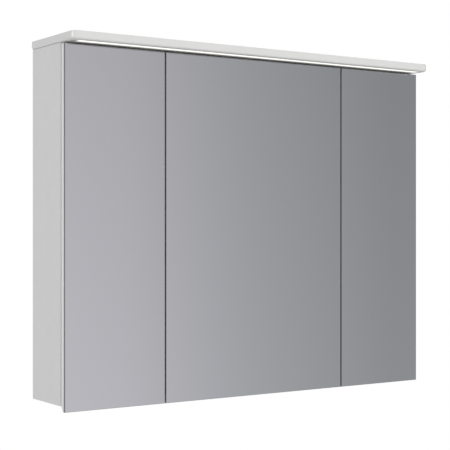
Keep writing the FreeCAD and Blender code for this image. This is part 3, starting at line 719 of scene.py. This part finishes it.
def along(axis, sign, middle, level):
    """The turn of the Z axis to an axis of the frame, and the move to a level on a solid's middle line."""
    target = Vector((0.0, 0.0, 0.0))
    target[axis] = sign
    place = middle.copy()
    place[axis] = level
    turn = UPWARD.rotation_difference(target).to_matrix().to_4x4()
    return Matrix.Translation(place) @ turn


def screws_for(node):
    """Detailed screws where a node has plain ones."""
    shapes = []
    for points in solids(node):
        axis, middle, low, high, radii = turned_solid(points)
        head_radius = max(radius for _, radius in radii)
        shank_radius = min(radius for _, radius in radii if radius > ON_FACE)
        head = [place for place, radius in radii if radius > head_radius * HEAD_SHARE]
        height = max(head) - min(head)
        sign = 1.0 if max(head) > high - ON_FACE else -1.0
        seat = min(head) if sign > 0 else max(head)
        shape = screw_shape(head_radius, height, shank_radius, high - low - height)
        shape.transform(along(axis, sign, middle, seat))
        shapes.append(shape)
    return join(shapes)


# Pieces of the cabinet

BOARDS = (
    "left_side", "right_side", "top_panel", "bottom_panel", "left_partition", "right_partition",
    "hanging_rail")
SHELF_LEVELS = (1, 2)
# How squarely a face looks along an axis: straight on, up to the middle of an edge's round, or slanted
STRAIGHT = 0.95
HALF_ROUND = 0.7
SLANTED = 0.3
# Places of the finishes in the material list of a board and of a pane
BOARD_BAND = 1
BOARD_BARE = 2
PANE_FACE, PANE_ARRIS, PANE_EDGE, PANE_BACK = range(4)
# Edges no longer than these stay sharp
HANGER_SHORTEST = 4.0 * MM
COVER_SHORTEST = 1.0 * MM
MOULDING_SHORTEST = 3.0 * MM
HINGE_SHORTEST = 2.5 * MM
PANEL_SHORTEST = 10.0 * MM
CAM_CHAMFER = 0.06
# Shelf pin: its collar, its length out of the board, and radius and chamfer of its ends against its radius
PIN_COLLAR_RADIUS = 4.0 * MM
PIN_COLLAR = 1.2 * MM
PIN_OUT = 8.0 * MM
PIN_TAIL = (0.9, 0.2)
PIN_NOSE = (0.7, 0.3)
# Canopy: steps along a corner's arc, its lower round and its upper round, and the slot for the light
CORNER_STEPS = 12
LOWER_STEPS = 8
UPPER_STEPS = 3
CHANNEL_FIT = 0.1 * MM
SLOT_DEPTH = 10.0 * MM
COVER_EDGE = 0.3 * MM
# Light supply: ribs of the driver, with the share of their pitch that they fill, and the inlet's lid
RIB = 0.8 * MM
RIB_COUNT = 9
RIB_SHARE = 0.5
RIB_END = 6.0 * MM
MOULDING_EDGE = 0.5 * MM
LID_BORDER = 1.6 * MM
LID_GROOVE = 0.5 * MM
LID_SCREW = {
    "head_radius": 2.6 * MM, "head_height": 0.9 * MM, "shank_radius": 1.2 * MM, "length": 3.0 * MM}
SWITCH_ROUGHNESS = 0.32
SWITCH_PIECES = (("switch_body", "switch_housing", 0.6 * MM), ("switch_rocker", "switch_key", 0.4 * MM))
# Radius and level of a door pad's dome against the pad's own
PAD_DOME = ((1.0, 0.0), (1.0, 0.45), (0.86, 0.78), (0.55, 0.95), (0.15, 1.0))
# Kinds of hinge piece, with the axis that the thin plate of each faces along
HINGE_PIECES = (("cups", 1), ("arms", 2), ("plates", 0))
PLATE_THICK = 2.1 * MM
PLATE_CORNER = 2.0 * MM


def face_board(shape):
    """Bands on the front edges of a board, and bare chipboard on its rear edges."""
    rear = max(vertex.co.y for vertex in shape.verts)
    for face in shape.faces:
        if face.normal.y < -HALF_ROUND:
            face.material_index = BOARD_BAND
        elif face.normal.y > STRAIGHT and face.calc_center_median().y > rear - ON_FACE:
            face.material_index = BOARD_BARE


def face_pane(shape):
    """Silver on the face of a pane, and its ground arris, edge and painted back."""
    for face in shape.faces:
        if face.normal.y < -STRAIGHT:
            face.material_index = PANE_FACE
        elif face.normal.y < -SLANTED:
            face.material_index = PANE_ARRIS
        elif face.normal.y > STRAIGHT:
            face.material_index = PANE_BACK
        else:
            face.material_index = PANE_EDGE


class CABINET_OT_case_boards(Operator):
    """Round and face the boards of the case"""
    bl_idname = "cabinet.case_boards"
    bl_label = "Case boards"

    def execute(self, context):
        for node in BOARDS:
            shape = welded(node)
            rounded(shape, outer_edges(shape), case().board_edge)
            if node != "hanging_rail":
                face_board(shape)
            put(node + "_board", shape, node, melamine(), edge_band(), chipboard())
        return {"FINISHED"}


class CABINET_OT_back_panel(Operator):
    """Print the inside of the back panel and leave its rear bare"""
    bl_idname = "cabinet.back_panel"
    bl_label = "Back panel"

    def execute(self, context):
        shape = welded("back_panel")
        for face in shape.faces:
            face.material_index = 0 if face.normal.y < -STRAIGHT else 1
        put("back_sheet", shape, "back_panel", back_lacquer(), hardboard())
        return {"FINISHED"}


class CABINET_OT_wall_fixing(Operator):
    """Finish the plates that the cabinet hangs from, with their screws"""
    bl_idname = "cabinet.wall_fixing"
    bl_label = "Wall fixing"

    def execute(self, context):
        shape = welded("hanger_plates")
        rounded(shape, sharp_edges(shape, HANGER_SHORTEST), doors().fitting_edge, segments=2)
        put("hanger_pressings", shape, "hanger_plates", nickel())
        put("hanger_wood_screws", screws_for("hanger_screws"), "hanger_screws", screw_zinc())
        return {"FINISHED"}


class CABINET_OT_joinery(Operator):
    """Finish the hidden fittings that hold the boards together"""
    bl_idname = "cabinet.joinery"
    bl_label = "Joinery"

    def execute(self, context):
        put("cam_lock_bodies", self.cams(), "cam_locks", cast_zinc())
        put("partition_wood_screws", screws_for("partition_screws"), "partition_screws", screw_zinc())
        dress("cam_bolts", screw_zinc())
        dress("carcass_dowels", beech())
        return {"FINISHED"}

    def cams(self):
        """Cam locks with a cross recess in the face that shows."""
        upper_faces = [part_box(node)[1].z for node in ("top_panel", "bottom_panel")]
        shapes = []
        for points in solids("cam_locks"):
            axis, middle, low, high, radii = turned_solid(points)
            radius = max(radius for _, radius in radii)
            depth = high - low
            chamfer = radius * CAM_CHAMFER
            shape = cross_head([(radius, 0.0), (radius, depth - chamfer), (radius - chamfer, depth)])
            if any(abs(high - level) < ON_FACE for level in upper_faces):
                shape.transform(along(axis, 1.0, middle, low))
            else:
                shape.transform(along(axis, -1.0, middle, high))
            shapes.append(shape)
        return join(shapes)


class CABINET_OT_shelves(Operator):
    """Make the glass shelves and the pins that carry them"""
    bl_idname = "cabinet.shelves"
    bl_label = "Shelves"

    def execute(self, context):
        for bay in DOORS:
            for level in SHELF_LEVELS:
                self.shelf(bay, level)
            node = "shelf_pins_" + bay
            put("shelf_studs_" + bay, self.studs(node), node, pin_steel())
        return {"FINISHED"}

    def shelf(self, bay, level):
        """One glass shelf with ground edges."""
        node = f"glass_shelf_{bay}_{level}"
        shape = box_shape(*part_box(node))
        rounded(shape, shape.edges[:], case().glass_edge, segments=2)
        for face in shape.faces:
            face.material_index = 0 if abs(face.normal.z) > STRAIGHT else 1
        put(f"shelf_pane_{bay}_{level}", shape, node, shelf_glass(), shelf_edge())

    def studs(self, node):
        """Pins with a collar against the board."""
        low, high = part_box(node)
        centre = (low.x + high.x) / 2.0
        shapes = []
        for points in solids(node):
            axis, middle, start, end, radii = turned_solid(points)
            shape = lathe(self.stud_profile(max(radius for _, radius in radii), end - start))
            if middle.x < centre:
                shape.transform(along(axis, 1.0, middle, start))
            else:
                shape.transform(along(axis, -1.0, middle, end))
            shapes.append(shape)
        return join(shapes)

    def stud_profile(self, radius, length):
        """A pin's outline, from the end in the board to the end under the shelf."""
        collar = length - PIN_OUT
        tail, tail_chamfer = PIN_TAIL
        nose, nose_chamfer = PIN_NOSE
        return [
            (radius * tail, 0.0),
            (radius, radius * tail_chamfer),
            (radius, collar),
            (PIN_COLLAR_RADIUS, collar),
            (PIN_COLLAR_RADIUS, collar + PIN_COLLAR),
            (radius, collar + PIN_COLLAR),
            (radius, length - radius * nose_chamfer),
            (radius * nose, length),
        ]


class CABINET_OT_canopy(Operator):
    """Make the canopy board with its rounds and the slot for its light"""
    bl_idname = "cabinet.canopy"
    bl_label = "Canopy"

    def execute(self, context):
        put("canopy_slab", self.slab(), "canopy_board", foil())
        put("canopy_wood_screws", screws_for("canopy_screws"), "canopy_screws", screw_zinc())
        return {"FINISHED"}

    def outline(self, inset, side_inset, level):
        """Plan outline at one level, drawn in at its front and sides, with arcs at the front corners."""
        low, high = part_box("canopy_board")
        corner = canopy().corner_round
        half = high.x - side_inset
        across = corner - side_inset
        deep = corner - inset
        centre_y = low.y + corner
        points = [(half, high.y, level)]
        for side, start in ((1.0, 0.0), (-1.0, -QUARTER)):
            centre_x = side * (high.x - corner)
            for i in range(CORNER_STEPS + 1):
                angle = start - QUARTER * i / CORNER_STEPS
                x = centre_x + across * math.cos(angle)
                points.append((x, centre_y + deep * math.sin(angle), level))
        points.append((-half, high.y, level))
        return points

    def slab(self):
        """The slab from its underside up, then the slot."""
        low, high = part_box("canopy_board")
        lower = canopy().lower_round
        upper = canopy().upper_round
        rings = []
        for i in range(LOWER_STEPS + 1):
            angle = QUARTER * i / LOWER_STEPS
            share = 1.0 - math.sin(angle)
            level = low.z + lower * (1.0 - math.cos(angle))
            rings.append((lower * share, canopy().side_round * share, level))
        for i in range(UPPER_STEPS + 1):
            angle = QUARTER * i / UPPER_STEPS
            inset = upper * (1.0 - math.cos(angle))
            rings.append((inset, inset, high.z - upper * (1.0 - math.sin(angle))))
        shape = bmesh.new()
        loops = [ring(shape, self.outline(*place)) for place in rings]
        for below, above in zip(loops, loops[1:]):
            skirt(shape, below, above)
        shape.faces.new(loops[-1])
        self.slot(shape, loops[0], low.z)
        bmesh.ops.recalc_face_normals(shape, faces=shape.faces)
        return shape

    def slot(self, shape, rim, level):
        """The underside round the light's slot, and the slot itself."""
        channel_low, channel_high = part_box("led_channel")
        cap_low, cap_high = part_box("led_end_caps")
        left = cap_low.x - CHANNEL_FIT
        right = cap_high.x + CHANNEL_FIT
        front = channel_low.y - CHANNEL_FIT
        back = channel_high.y + CHANNEL_FIT
        corners = ((left, front), (right, front), (right, back), (left, back))
        mouth = ring(shape, [(x, y, level) for x, y in corners])
        roof = ring(shape, [(x, y, level + SLOT_DEPTH) for x, y in corners])
        skirt(shape, mouth, roof)
        shape.faces.new(roof)
        bmesh.ops.triangle_fill(shape, edges=ring_edges(shape, rim, mouth), use_beauty=True)


class CABINET_OT_light_band(Operator):
    """Finish the light channel with its strip and its lit milky cover, and give the end caps the cover's
    glow as painted light
    """
    bl_idname = "cabinet.light_band"
    bl_label = "Light band"

    def execute(self, context):
        dress("led_channel", aluminium())
        dress("led_strip", moulded("circuit_white"))
        lights = []
        # The end caps hold no light chips: their glow is painted light, the cover's own emission put on
        # them.
        for node, name in (("led_end_caps", "channel_caps_painted_glow"), ("led_diffuser", "light_cover")):
            shape = welded(node)
            rounded(shape, sharp_edges(shape, COVER_SHORTEST), COVER_EDGE, segments=2)
            lights.append(put(name, shape, node, opal()))
        self.shield(lights)
        return {"FINISHED"}

    def shield(self, lights):
        """Keep the glare of the light band out of the panes below it."""
        panes = bpy.data.collections.new("shielded_panes")
        for door in DOORS:
            panes.objects.link(bpy.data.objects["mirror_pane_" + door])
        for light in lights:
            light.light_linking.receiver_collection = panes
        for item in panes.collection_objects:
            item.light_linking.link_state = "EXCLUDE"


class CABINET_OT_light_supply(Operator):
    """Finish the power supply behind the back panel with its inlet, cables and clips"""
    bl_idname = "cabinet.light_supply"
    bl_label = "Light supply"

    def execute(self, context):
        inlet = self.lidded(self.moulding("terminal_block"))
        put("driver_case", self.driver(), "led_driver", moulded("driver_white"))
        put("inlet_block", inlet, "terminal_block", moulded("inlet_grey"))
        put("cable_saddles", self.moulding("cable_clips"), "cable_clips", moulded("clip_white"))
        for node in ("led_cable", "switch_cable"):
            dress(node, sheath())
        return {"FINISHED"}

    def moulding(self, node):
        """A moulded piece with its longer edges rounded."""
        shape = welded(node)
        return rounded(shape, sharp_edges(shape, MOULDING_SHORTEST), MOULDING_EDGE, segments=2)

    def lidded(self, shape):
        """The inlet block with a groove round its rear lid and the screw that holds the lid."""
        rear = max(shape.faces, key=lambda face: face.calc_area() if face.normal.y > STRAIGHT else 0.0)
        middle = rear.calc_center_bounds()
        for thickness, depth in ((LID_BORDER, 0.0), (LID_GROOVE, -LID_GROOVE), (LID_GROOVE, LID_GROOVE)):
            bmesh.ops.inset_individual(shape, faces=[rear], thickness=thickness, depth=depth)
        screw = screw_shape(**LID_SCREW)
        screw.transform(along(1, 1.0, middle, middle.y))
        return join([shape, screw])

    def driver(self):
        """Flat driver case with cooling ribs on its rear."""
        low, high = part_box("led_driver")
        shapes = [welded("led_driver")]
        pitch = (high.x - low.x) / (RIB_COUNT + 1)
        half = pitch * RIB_SHARE / 2.0
        for i in range(RIB_COUNT):
            x = low.x + (i + 1) * pitch
            corner = (x - half, high.y - RIB, low.z + RIB_END)
            rib = box_shape(corner, (x + half, high.y + RIB, high.z - RIB_END))
            shapes.append(rounded(rib, rib.edges[:], RIB / 2.0, segments=2))
        return join(shapes)


class CABINET_OT_light_switch(Operator):
    """Finish the rocker switch inside the middle bay"""
    bl_idname = "cabinet.light_switch"
    bl_label = "Light switch"

    def execute(self, context):
        for node, name, radius in SWITCH_PIECES:
            shape = welded(node)
            rounded(shape, sharp_edges(shape, MOULDING_SHORTEST), radius)
            put(name, shape, node, moulded("switch_white", SWITCH_ROUGHNESS))
        return {"FINISHED"}


class CABINET_OT_doors(Operator):
    """Finish the door leaves with their mirror panes and the pads they close on"""
    bl_idname = "cabinet.doors"
    bl_label = "Doors"

    def execute(self, context):
        for door in DOORS:
            node = "door_panel_" + door
            shape = welded(node)
            rounded(shape, self.rim(shape, min), doors().seam_edge)
            rounded(shape, self.rim(shape, max), doors().panel_edge)
            put("door_leaf_" + door, shape, node, lacquer())
            node = "mirror_" + door
            shape = welded(node)
            face_pane(shape)
            put("mirror_pane_" + door, shape, node, silver(), arris(), pane_edge(), pane_back())
        put("closing_pads", self.pads(), "door_bumpers", soft_pad())
        return {"FINISHED"}

    def rim(self, shape, end):
        """Long edges round the front or the back of a door panel."""
        level = end(vertex.co.y for vertex in shape.verts)
        return [
            edge for edge in sharp_edges(shape, PANEL_SHORTEST)
            if all(abs(vertex.co.y - level) < ON_FACE for vertex in edge.verts)]

    def pads(self):
        """Domed pads on the partition edges."""
        shapes = []
        for points in solids("door_bumpers"):
            axis, middle, low, high, radii = turned_solid(points)
            radius = max(radius for _, radius in radii)
            thick = high - low
            shape = lathe([(radius * across, thick * level) for across, level in PAD_DOME])
            shape.transform(along(axis, -1.0, middle, high))
            shapes.append(shape)
        return join(shapes)


class CABINET_OT_hinges(Operator):
    """Finish the concealed hinges with their pins and screws"""
    bl_idname = "cabinet.hinges"
    bl_label = "Hinges"

    def execute(self, context):
        for door in DOORS:
            for kind, axis in HINGE_PIECES:
                node = f"hinge_{kind}_{door}"
                shape = welded(node)
                rounded(shape, self.plate_corners(shape, axis), PLATE_CORNER, segments=4)
                rounded(shape, sharp_edges(shape, HINGE_SHORTEST), doors().fitting_edge, segments=2)
                put(f"hinge_{kind}_pressed_{door}", shape, node, nickel())
            dress("hinge_pins_" + door, pin_steel())
            node = "cup_screws_" + door
            put("flange_screws_" + door, screws_for(node), node, screw_zinc())
        put("hinge_fixing_screws", screws_for("hinge_screws"), "hinge_screws", screw_zinc())
        return {"FINISHED"}

    def plate_corners(self, shape, axis):
        """Short edges at the square corners of a thin plate that faces along an axis."""
        found = []
        for edge in shape.edges:
            line = edge.verts[1].co - edge.verts[0].co
            through = abs(line[axis]) > line.length - ON_FACE and line.length < PLATE_THICK
            if through and edge.is_convex and edge.calc_face_angle() > SQUARE_ANGLE:
                found.append(edge)
        return found


# Stage

# Grey of the wall round the cabinet, from the left side past the front to the right side and the back
WALL_STOPS = (
    (0.0, 0.62), (0.12, 0.672), (0.25, 0.618), (0.322, 0.472), (0.345, 0.36), (0.37, 0.278), (0.45, 0.235),
    (0.55, 0.28), (0.75, 0.52), (1.0, 0.62))
# Tints of that grey before and after a place
WALL_TINTS = ((1.0, 0.988, 1.05), (0.975, 1.0, 1.05))
TINT_CHANGE = 0.34
# Share of that grey by height, from the floor up
HEIGHT_STOPS = ((0.0, 0.5), (0.02, 0.62), (0.036, 1.07), (0.50, 0.905), (1.0, 0.9))
# Light that the sweep gives to the boards by height, from the floor up
GLOW_STOPS = ((0.0, 0.72), (0.2, 0.55), (1.0, 0.53))
# Shape of the sweep: its wall's height, the radii of its inner rings, and the bend from floor to wall
WALL_HEIGHT = 6.0
SWEEP_RINGS = (0.02, 1.5, 3.0)
SWEEP_BEND = 1.2
SWEEP_STEPS = 8
SWEEP_SIDES = 96
# Floor that takes the shadow: how far it reaches, where it is whole, its paint, and the light that it gets
SHADOW_REACH = 3.0
SHADOW_WHOLE = 0.5
SHADOW_SHARE = 0.9
SHADOW_LIGHT = 0.8
SKY_LIGHT = 0.5
# Name, place, watts, width and height of each lamp
LAMPS = (
    ("key_lamp", (0.2, -3.8, 2.2), 72.0, 2.2, 2.2),
    ("fill_lamp", (3.2, -2.2, -0.4), 12.0, 2.4, 2.4),
    ("back_lamp", (0.6, 3.2, 1.6), 45.0, 2.4, 2.4),
    ("side_lamp", (-3.2, 0.6, 0.1), 15.0, 0.4, 2.4),
)
GLINT_LAMP = ("glint_lamp", (-3.4, 0.0, 0.1), 24.0, 0.6, 2.4)


class CABINET_OT_studio(Operator):
    """Set up the round backdrop, the lamps and the camera"""
    bl_idname = "cabinet.studio"
    bl_label = "Studio"

    def execute(self, context):
        self.sweep()
        self.sky()
        for lamp in LAMPS:
            self.lamp(*lamp)
        glint = self.lamp(*GLINT_LAMP)
        glint.visible_glossy = True
        glint.visible_diffuse = False
        self.camera()
        return {"FINISHED"}

    def sweep(self):
        """Round floor that runs up into a wall."""
        level = CAD_BOX[0].z - studio().floor_drop
        radius = studio().sweep_radius
        profile = [(inner, level) for inner in (*SWEEP_RINGS, radius - SWEEP_BEND)]
        for i in range(1, SWEEP_STEPS + 1):
            angle = QUARTER * i / SWEEP_STEPS
            across = radius - SWEEP_BEND * (1.0 - math.sin(angle))
            profile.append((across, level + SWEEP_BEND * (1.0 - math.cos(angle))))
        profile.append((radius, level + WALL_HEIGHT))
        shape = bmesh.new()
        loops = [ring(shape, circle(across, height, SWEEP_SIDES)) for across, height in profile]
        for lower, upper in zip(loops, loops[1:]):
            skirt(shape, upper, lower)
        shape.faces.new(loops[0])
        mesh = bpy.data.meshes.new("studio_sweep")
        shape.to_mesh(mesh)
        shape.free()
        mesh.shade_smooth()
        mesh.materials.append(self.sweep_paint(level))
        sweep = bpy.data.objects.new("studio_sweep", mesh)
        bpy.context.scene.collection.objects.link(sweep)

    def sweep_paint(self, level):
        """White to the camera, grey in the mirrors, a plain pale light on the rest, and open from behind."""
        material, tree, shader = start_material("studio_paint")
        tree.nodes.remove(shader)
        place = own_place(tree)
        up = add(tree, "ShaderNodeSeparateXYZ", Vector=place).outputs["Z"]
        rise = add(tree, "ShaderNodeMapRange", Value=up, From_Min=level, From_Max=level + WALL_HEIGHT)
        height = rise.outputs["Result"]
        pale = ramp(tree, height, greys(GLOW_STOPS))
        glow = add(tree, "ShaderNodeEmission", Color=pale, Strength=1.0).outputs["Emission"]
        mirrored = tree.nodes.new("ShaderNodeLightPath").outputs["Is Glossy Ray"]
        lit = self.either(tree, mirrored, glow, self.wall_grey(tree, place, height))
        front = self.either(tree, self.seen(tree), lit, self.shadow_white(tree, place))
        behind = tree.nodes.new("ShaderNodeNewGeometry").outputs["Backfacing"]
        back = tree.nodes.new("ShaderNodeBsdfTransparent").outputs["BSDF"]
        feed(tree, tree.nodes["Material Output"], Surface=self.either(tree, behind, front, back))
        return material

    def either(self, tree, factor, first, second):
        """The first shader at a factor of none, the second at one."""
        mix = add(tree, "ShaderNodeMixShader", Fac=factor)
        tree.links.new(first, mix.inputs[1])
        tree.links.new(second, mix.inputs[2])
        return mix.outputs["Shader"]

    def seen(self, tree):
        """One for what the camera sees, also through glass, and none for the rest."""
        path = tree.nodes.new("ShaderNodeLightPath")
        most = tree.nodes.new("ShaderNodeMath")
        most.operation = "MAXIMUM"
        tree.links.new(path.outputs["Is Camera Ray"], most.inputs[0])
        tree.links.new(path.outputs["Is Transmission Ray"], most.inputs[1])
        return most.outputs["Value"]

    def wall_grey(self, tree, place, height):
        """Grey that darkens to the right, for the mirrors."""
        around = add(tree, "ShaderNodeTexGradient", Vector=place)
        around.gradient_type = "RADIAL"
        left, right = WALL_TINTS
        stops = [(stop, tone(left if stop < TINT_CHANGE else right, value)) for stop, value in WALL_STOPS]
        colour = ramp(tree, around.outputs["Fac"], stops)
        share = ramp(tree, height, greys(HEIGHT_STOPS))
        return add(tree, "ShaderNodeEmission", Color=colour, Strength=share).outputs["Emission"]

    def shadow_white(self, tree, place):
        """White that takes the cabinet's shadow on the floor below it."""
        scale = (1.0 / SHADOW_REACH, 1.0 / SHADOW_REACH, 0.0)
        flat = add(tree, "ShaderNodeMapping", Vector=place, Scale=scale)
        near = add(tree, "ShaderNodeTexGradient", Vector=flat.outputs["Vector"])
        near.gradient_type = "SPHERICAL"
        paint = ramp(tree, near.outputs["Fac"], greys(((0.0, 0.0), (SHADOW_WHOLE, SHADOW_SHARE))))
        rest = ramp(tree, near.outputs["Fac"], greys(((0.0, 1.0), (SHADOW_WHOLE, 1.0 - SHADOW_LIGHT))))
        matt = add(tree, "ShaderNodeBsdfDiffuse", Color=paint)
        white = add(tree, "ShaderNodeEmission", Color=rest, Strength=1.0)
        both = tree.nodes.new("ShaderNodeAddShader")
        tree.links.new(matt.outputs["BSDF"], both.inputs[0])
        tree.links.new(white.outputs["Emission"], both.inputs[1])
        return both.outputs["Shader"]

    def sky(self):
        """White to the camera and through glass, and a plain soft light elsewhere."""
        world = bpy.data.worlds.new("studio_sky")
        world.use_nodes = True
        tree = world.node_tree
        strength = add(tree, "ShaderNodeMapRange", Value=self.seen(tree), To_Min=SKY_LIGHT, To_Max=1.0)
        feed(tree, tree.nodes["Background"], Color=(1.0, 1.0, 1.0, 1.0), Strength=strength.outputs["Result"])
        bpy.context.scene.world = world

    def lamp(self, name, place, power, width, height):
        """A soft lamp turned to the cabinet, hidden from the mirrors and the camera."""
        data = bpy.data.lights.new(name, "AREA")
        data.shape = "RECTANGLE"
        data.size = width
        data.size_y = height
        data.energy = power
        lamp = bpy.data.objects.new(name, data)
        lamp.location = place
        middle = (CAD_BOX[0] + CAD_BOX[1]) / 2.0
        lamp.rotation_euler = (middle - Vector(place)).to_track_quat("-Z", "Y").to_euler()
        lamp.visible_camera = False
        lamp.visible_glossy = False
        bpy.context.scene.collection.objects.link(lamp)
        return lamp

    def camera(self):
        """Level camera at the front left."""
        data = bpy.data.cameras.new("photo_camera")
        data.lens = studio().lens
        camera = bpy.data.objects.new("photo_camera", data)
        camera.location = studio().camera_place
        camera.rotation_euler = (QUARTER, 0.0, -studio().camera_heading)
        bpy.context.scene.collection.objects.link(camera)
        bpy.context.scene.camera = camera
        bpy.context.scene.view_settings.view_transform = "Standard"


# Add-on

OPERATORS = (
    CABINET_OT_case_boards, CABINET_OT_back_panel, CABINET_OT_wall_fixing, CABINET_OT_joinery,
    CABINET_OT_shelves, CABINET_OT_doors, CABINET_OT_hinges, CABINET_OT_canopy, CABINET_OT_light_band,
    CABINET_OT_light_supply, CABINET_OT_light_switch, CABINET_OT_studio)
SETTINGS = {
    "cabinet_case": CaseSettings,
    "cabinet_doors": DoorSettings,
    "cabinet_canopy": CanopySettings,
    "cabinet_studio": StudioSettings,
}


class CABINET_PT_pieces(Panel):
    """Settings and pieces of the cabinet"""
    bl_idname = "CABINET_PT_pieces"
    bl_label = "Mirror cabinet"
    bl_space_type = "VIEW_3D"
    bl_region_type = "UI"
    bl_category = "Cabinet"

    def draw(self, context):
        for name, group in SETTINGS.items():
            box = self.layout.box()
            for key in group.__annotations__:
                box.prop(getattr(context.scene, name), key)
        for operator in OPERATORS:
            self.layout.operator(operator.bl_idname)


CLASSES = (*SETTINGS.values(), *OPERATORS, CABINET_PT_pieces)


def register():
    """Make the settings, the operators and the panel known to Blender."""
    for item in CLASSES:
        bpy.utils.register_class(item)
    for name, group in SETTINGS.items():
        setattr(bpy.types.Scene, name, PointerProperty(type=group))


def unregister():
    """Take the settings, the operators and the panel away again."""
    for name in SETTINGS:
        delattr(bpy.types.Scene, name)
    for item in reversed(CLASSES):
        bpy.utils.unregister_class(item)


def main():
    """Build the cabinet and its stage."""
    register()
    for operator in OPERATORS:
        group, name = operator.bl_idname.split(".")
        getattr(getattr(bpy.ops, group), name)()


if __name__ == "__main__":
    main()
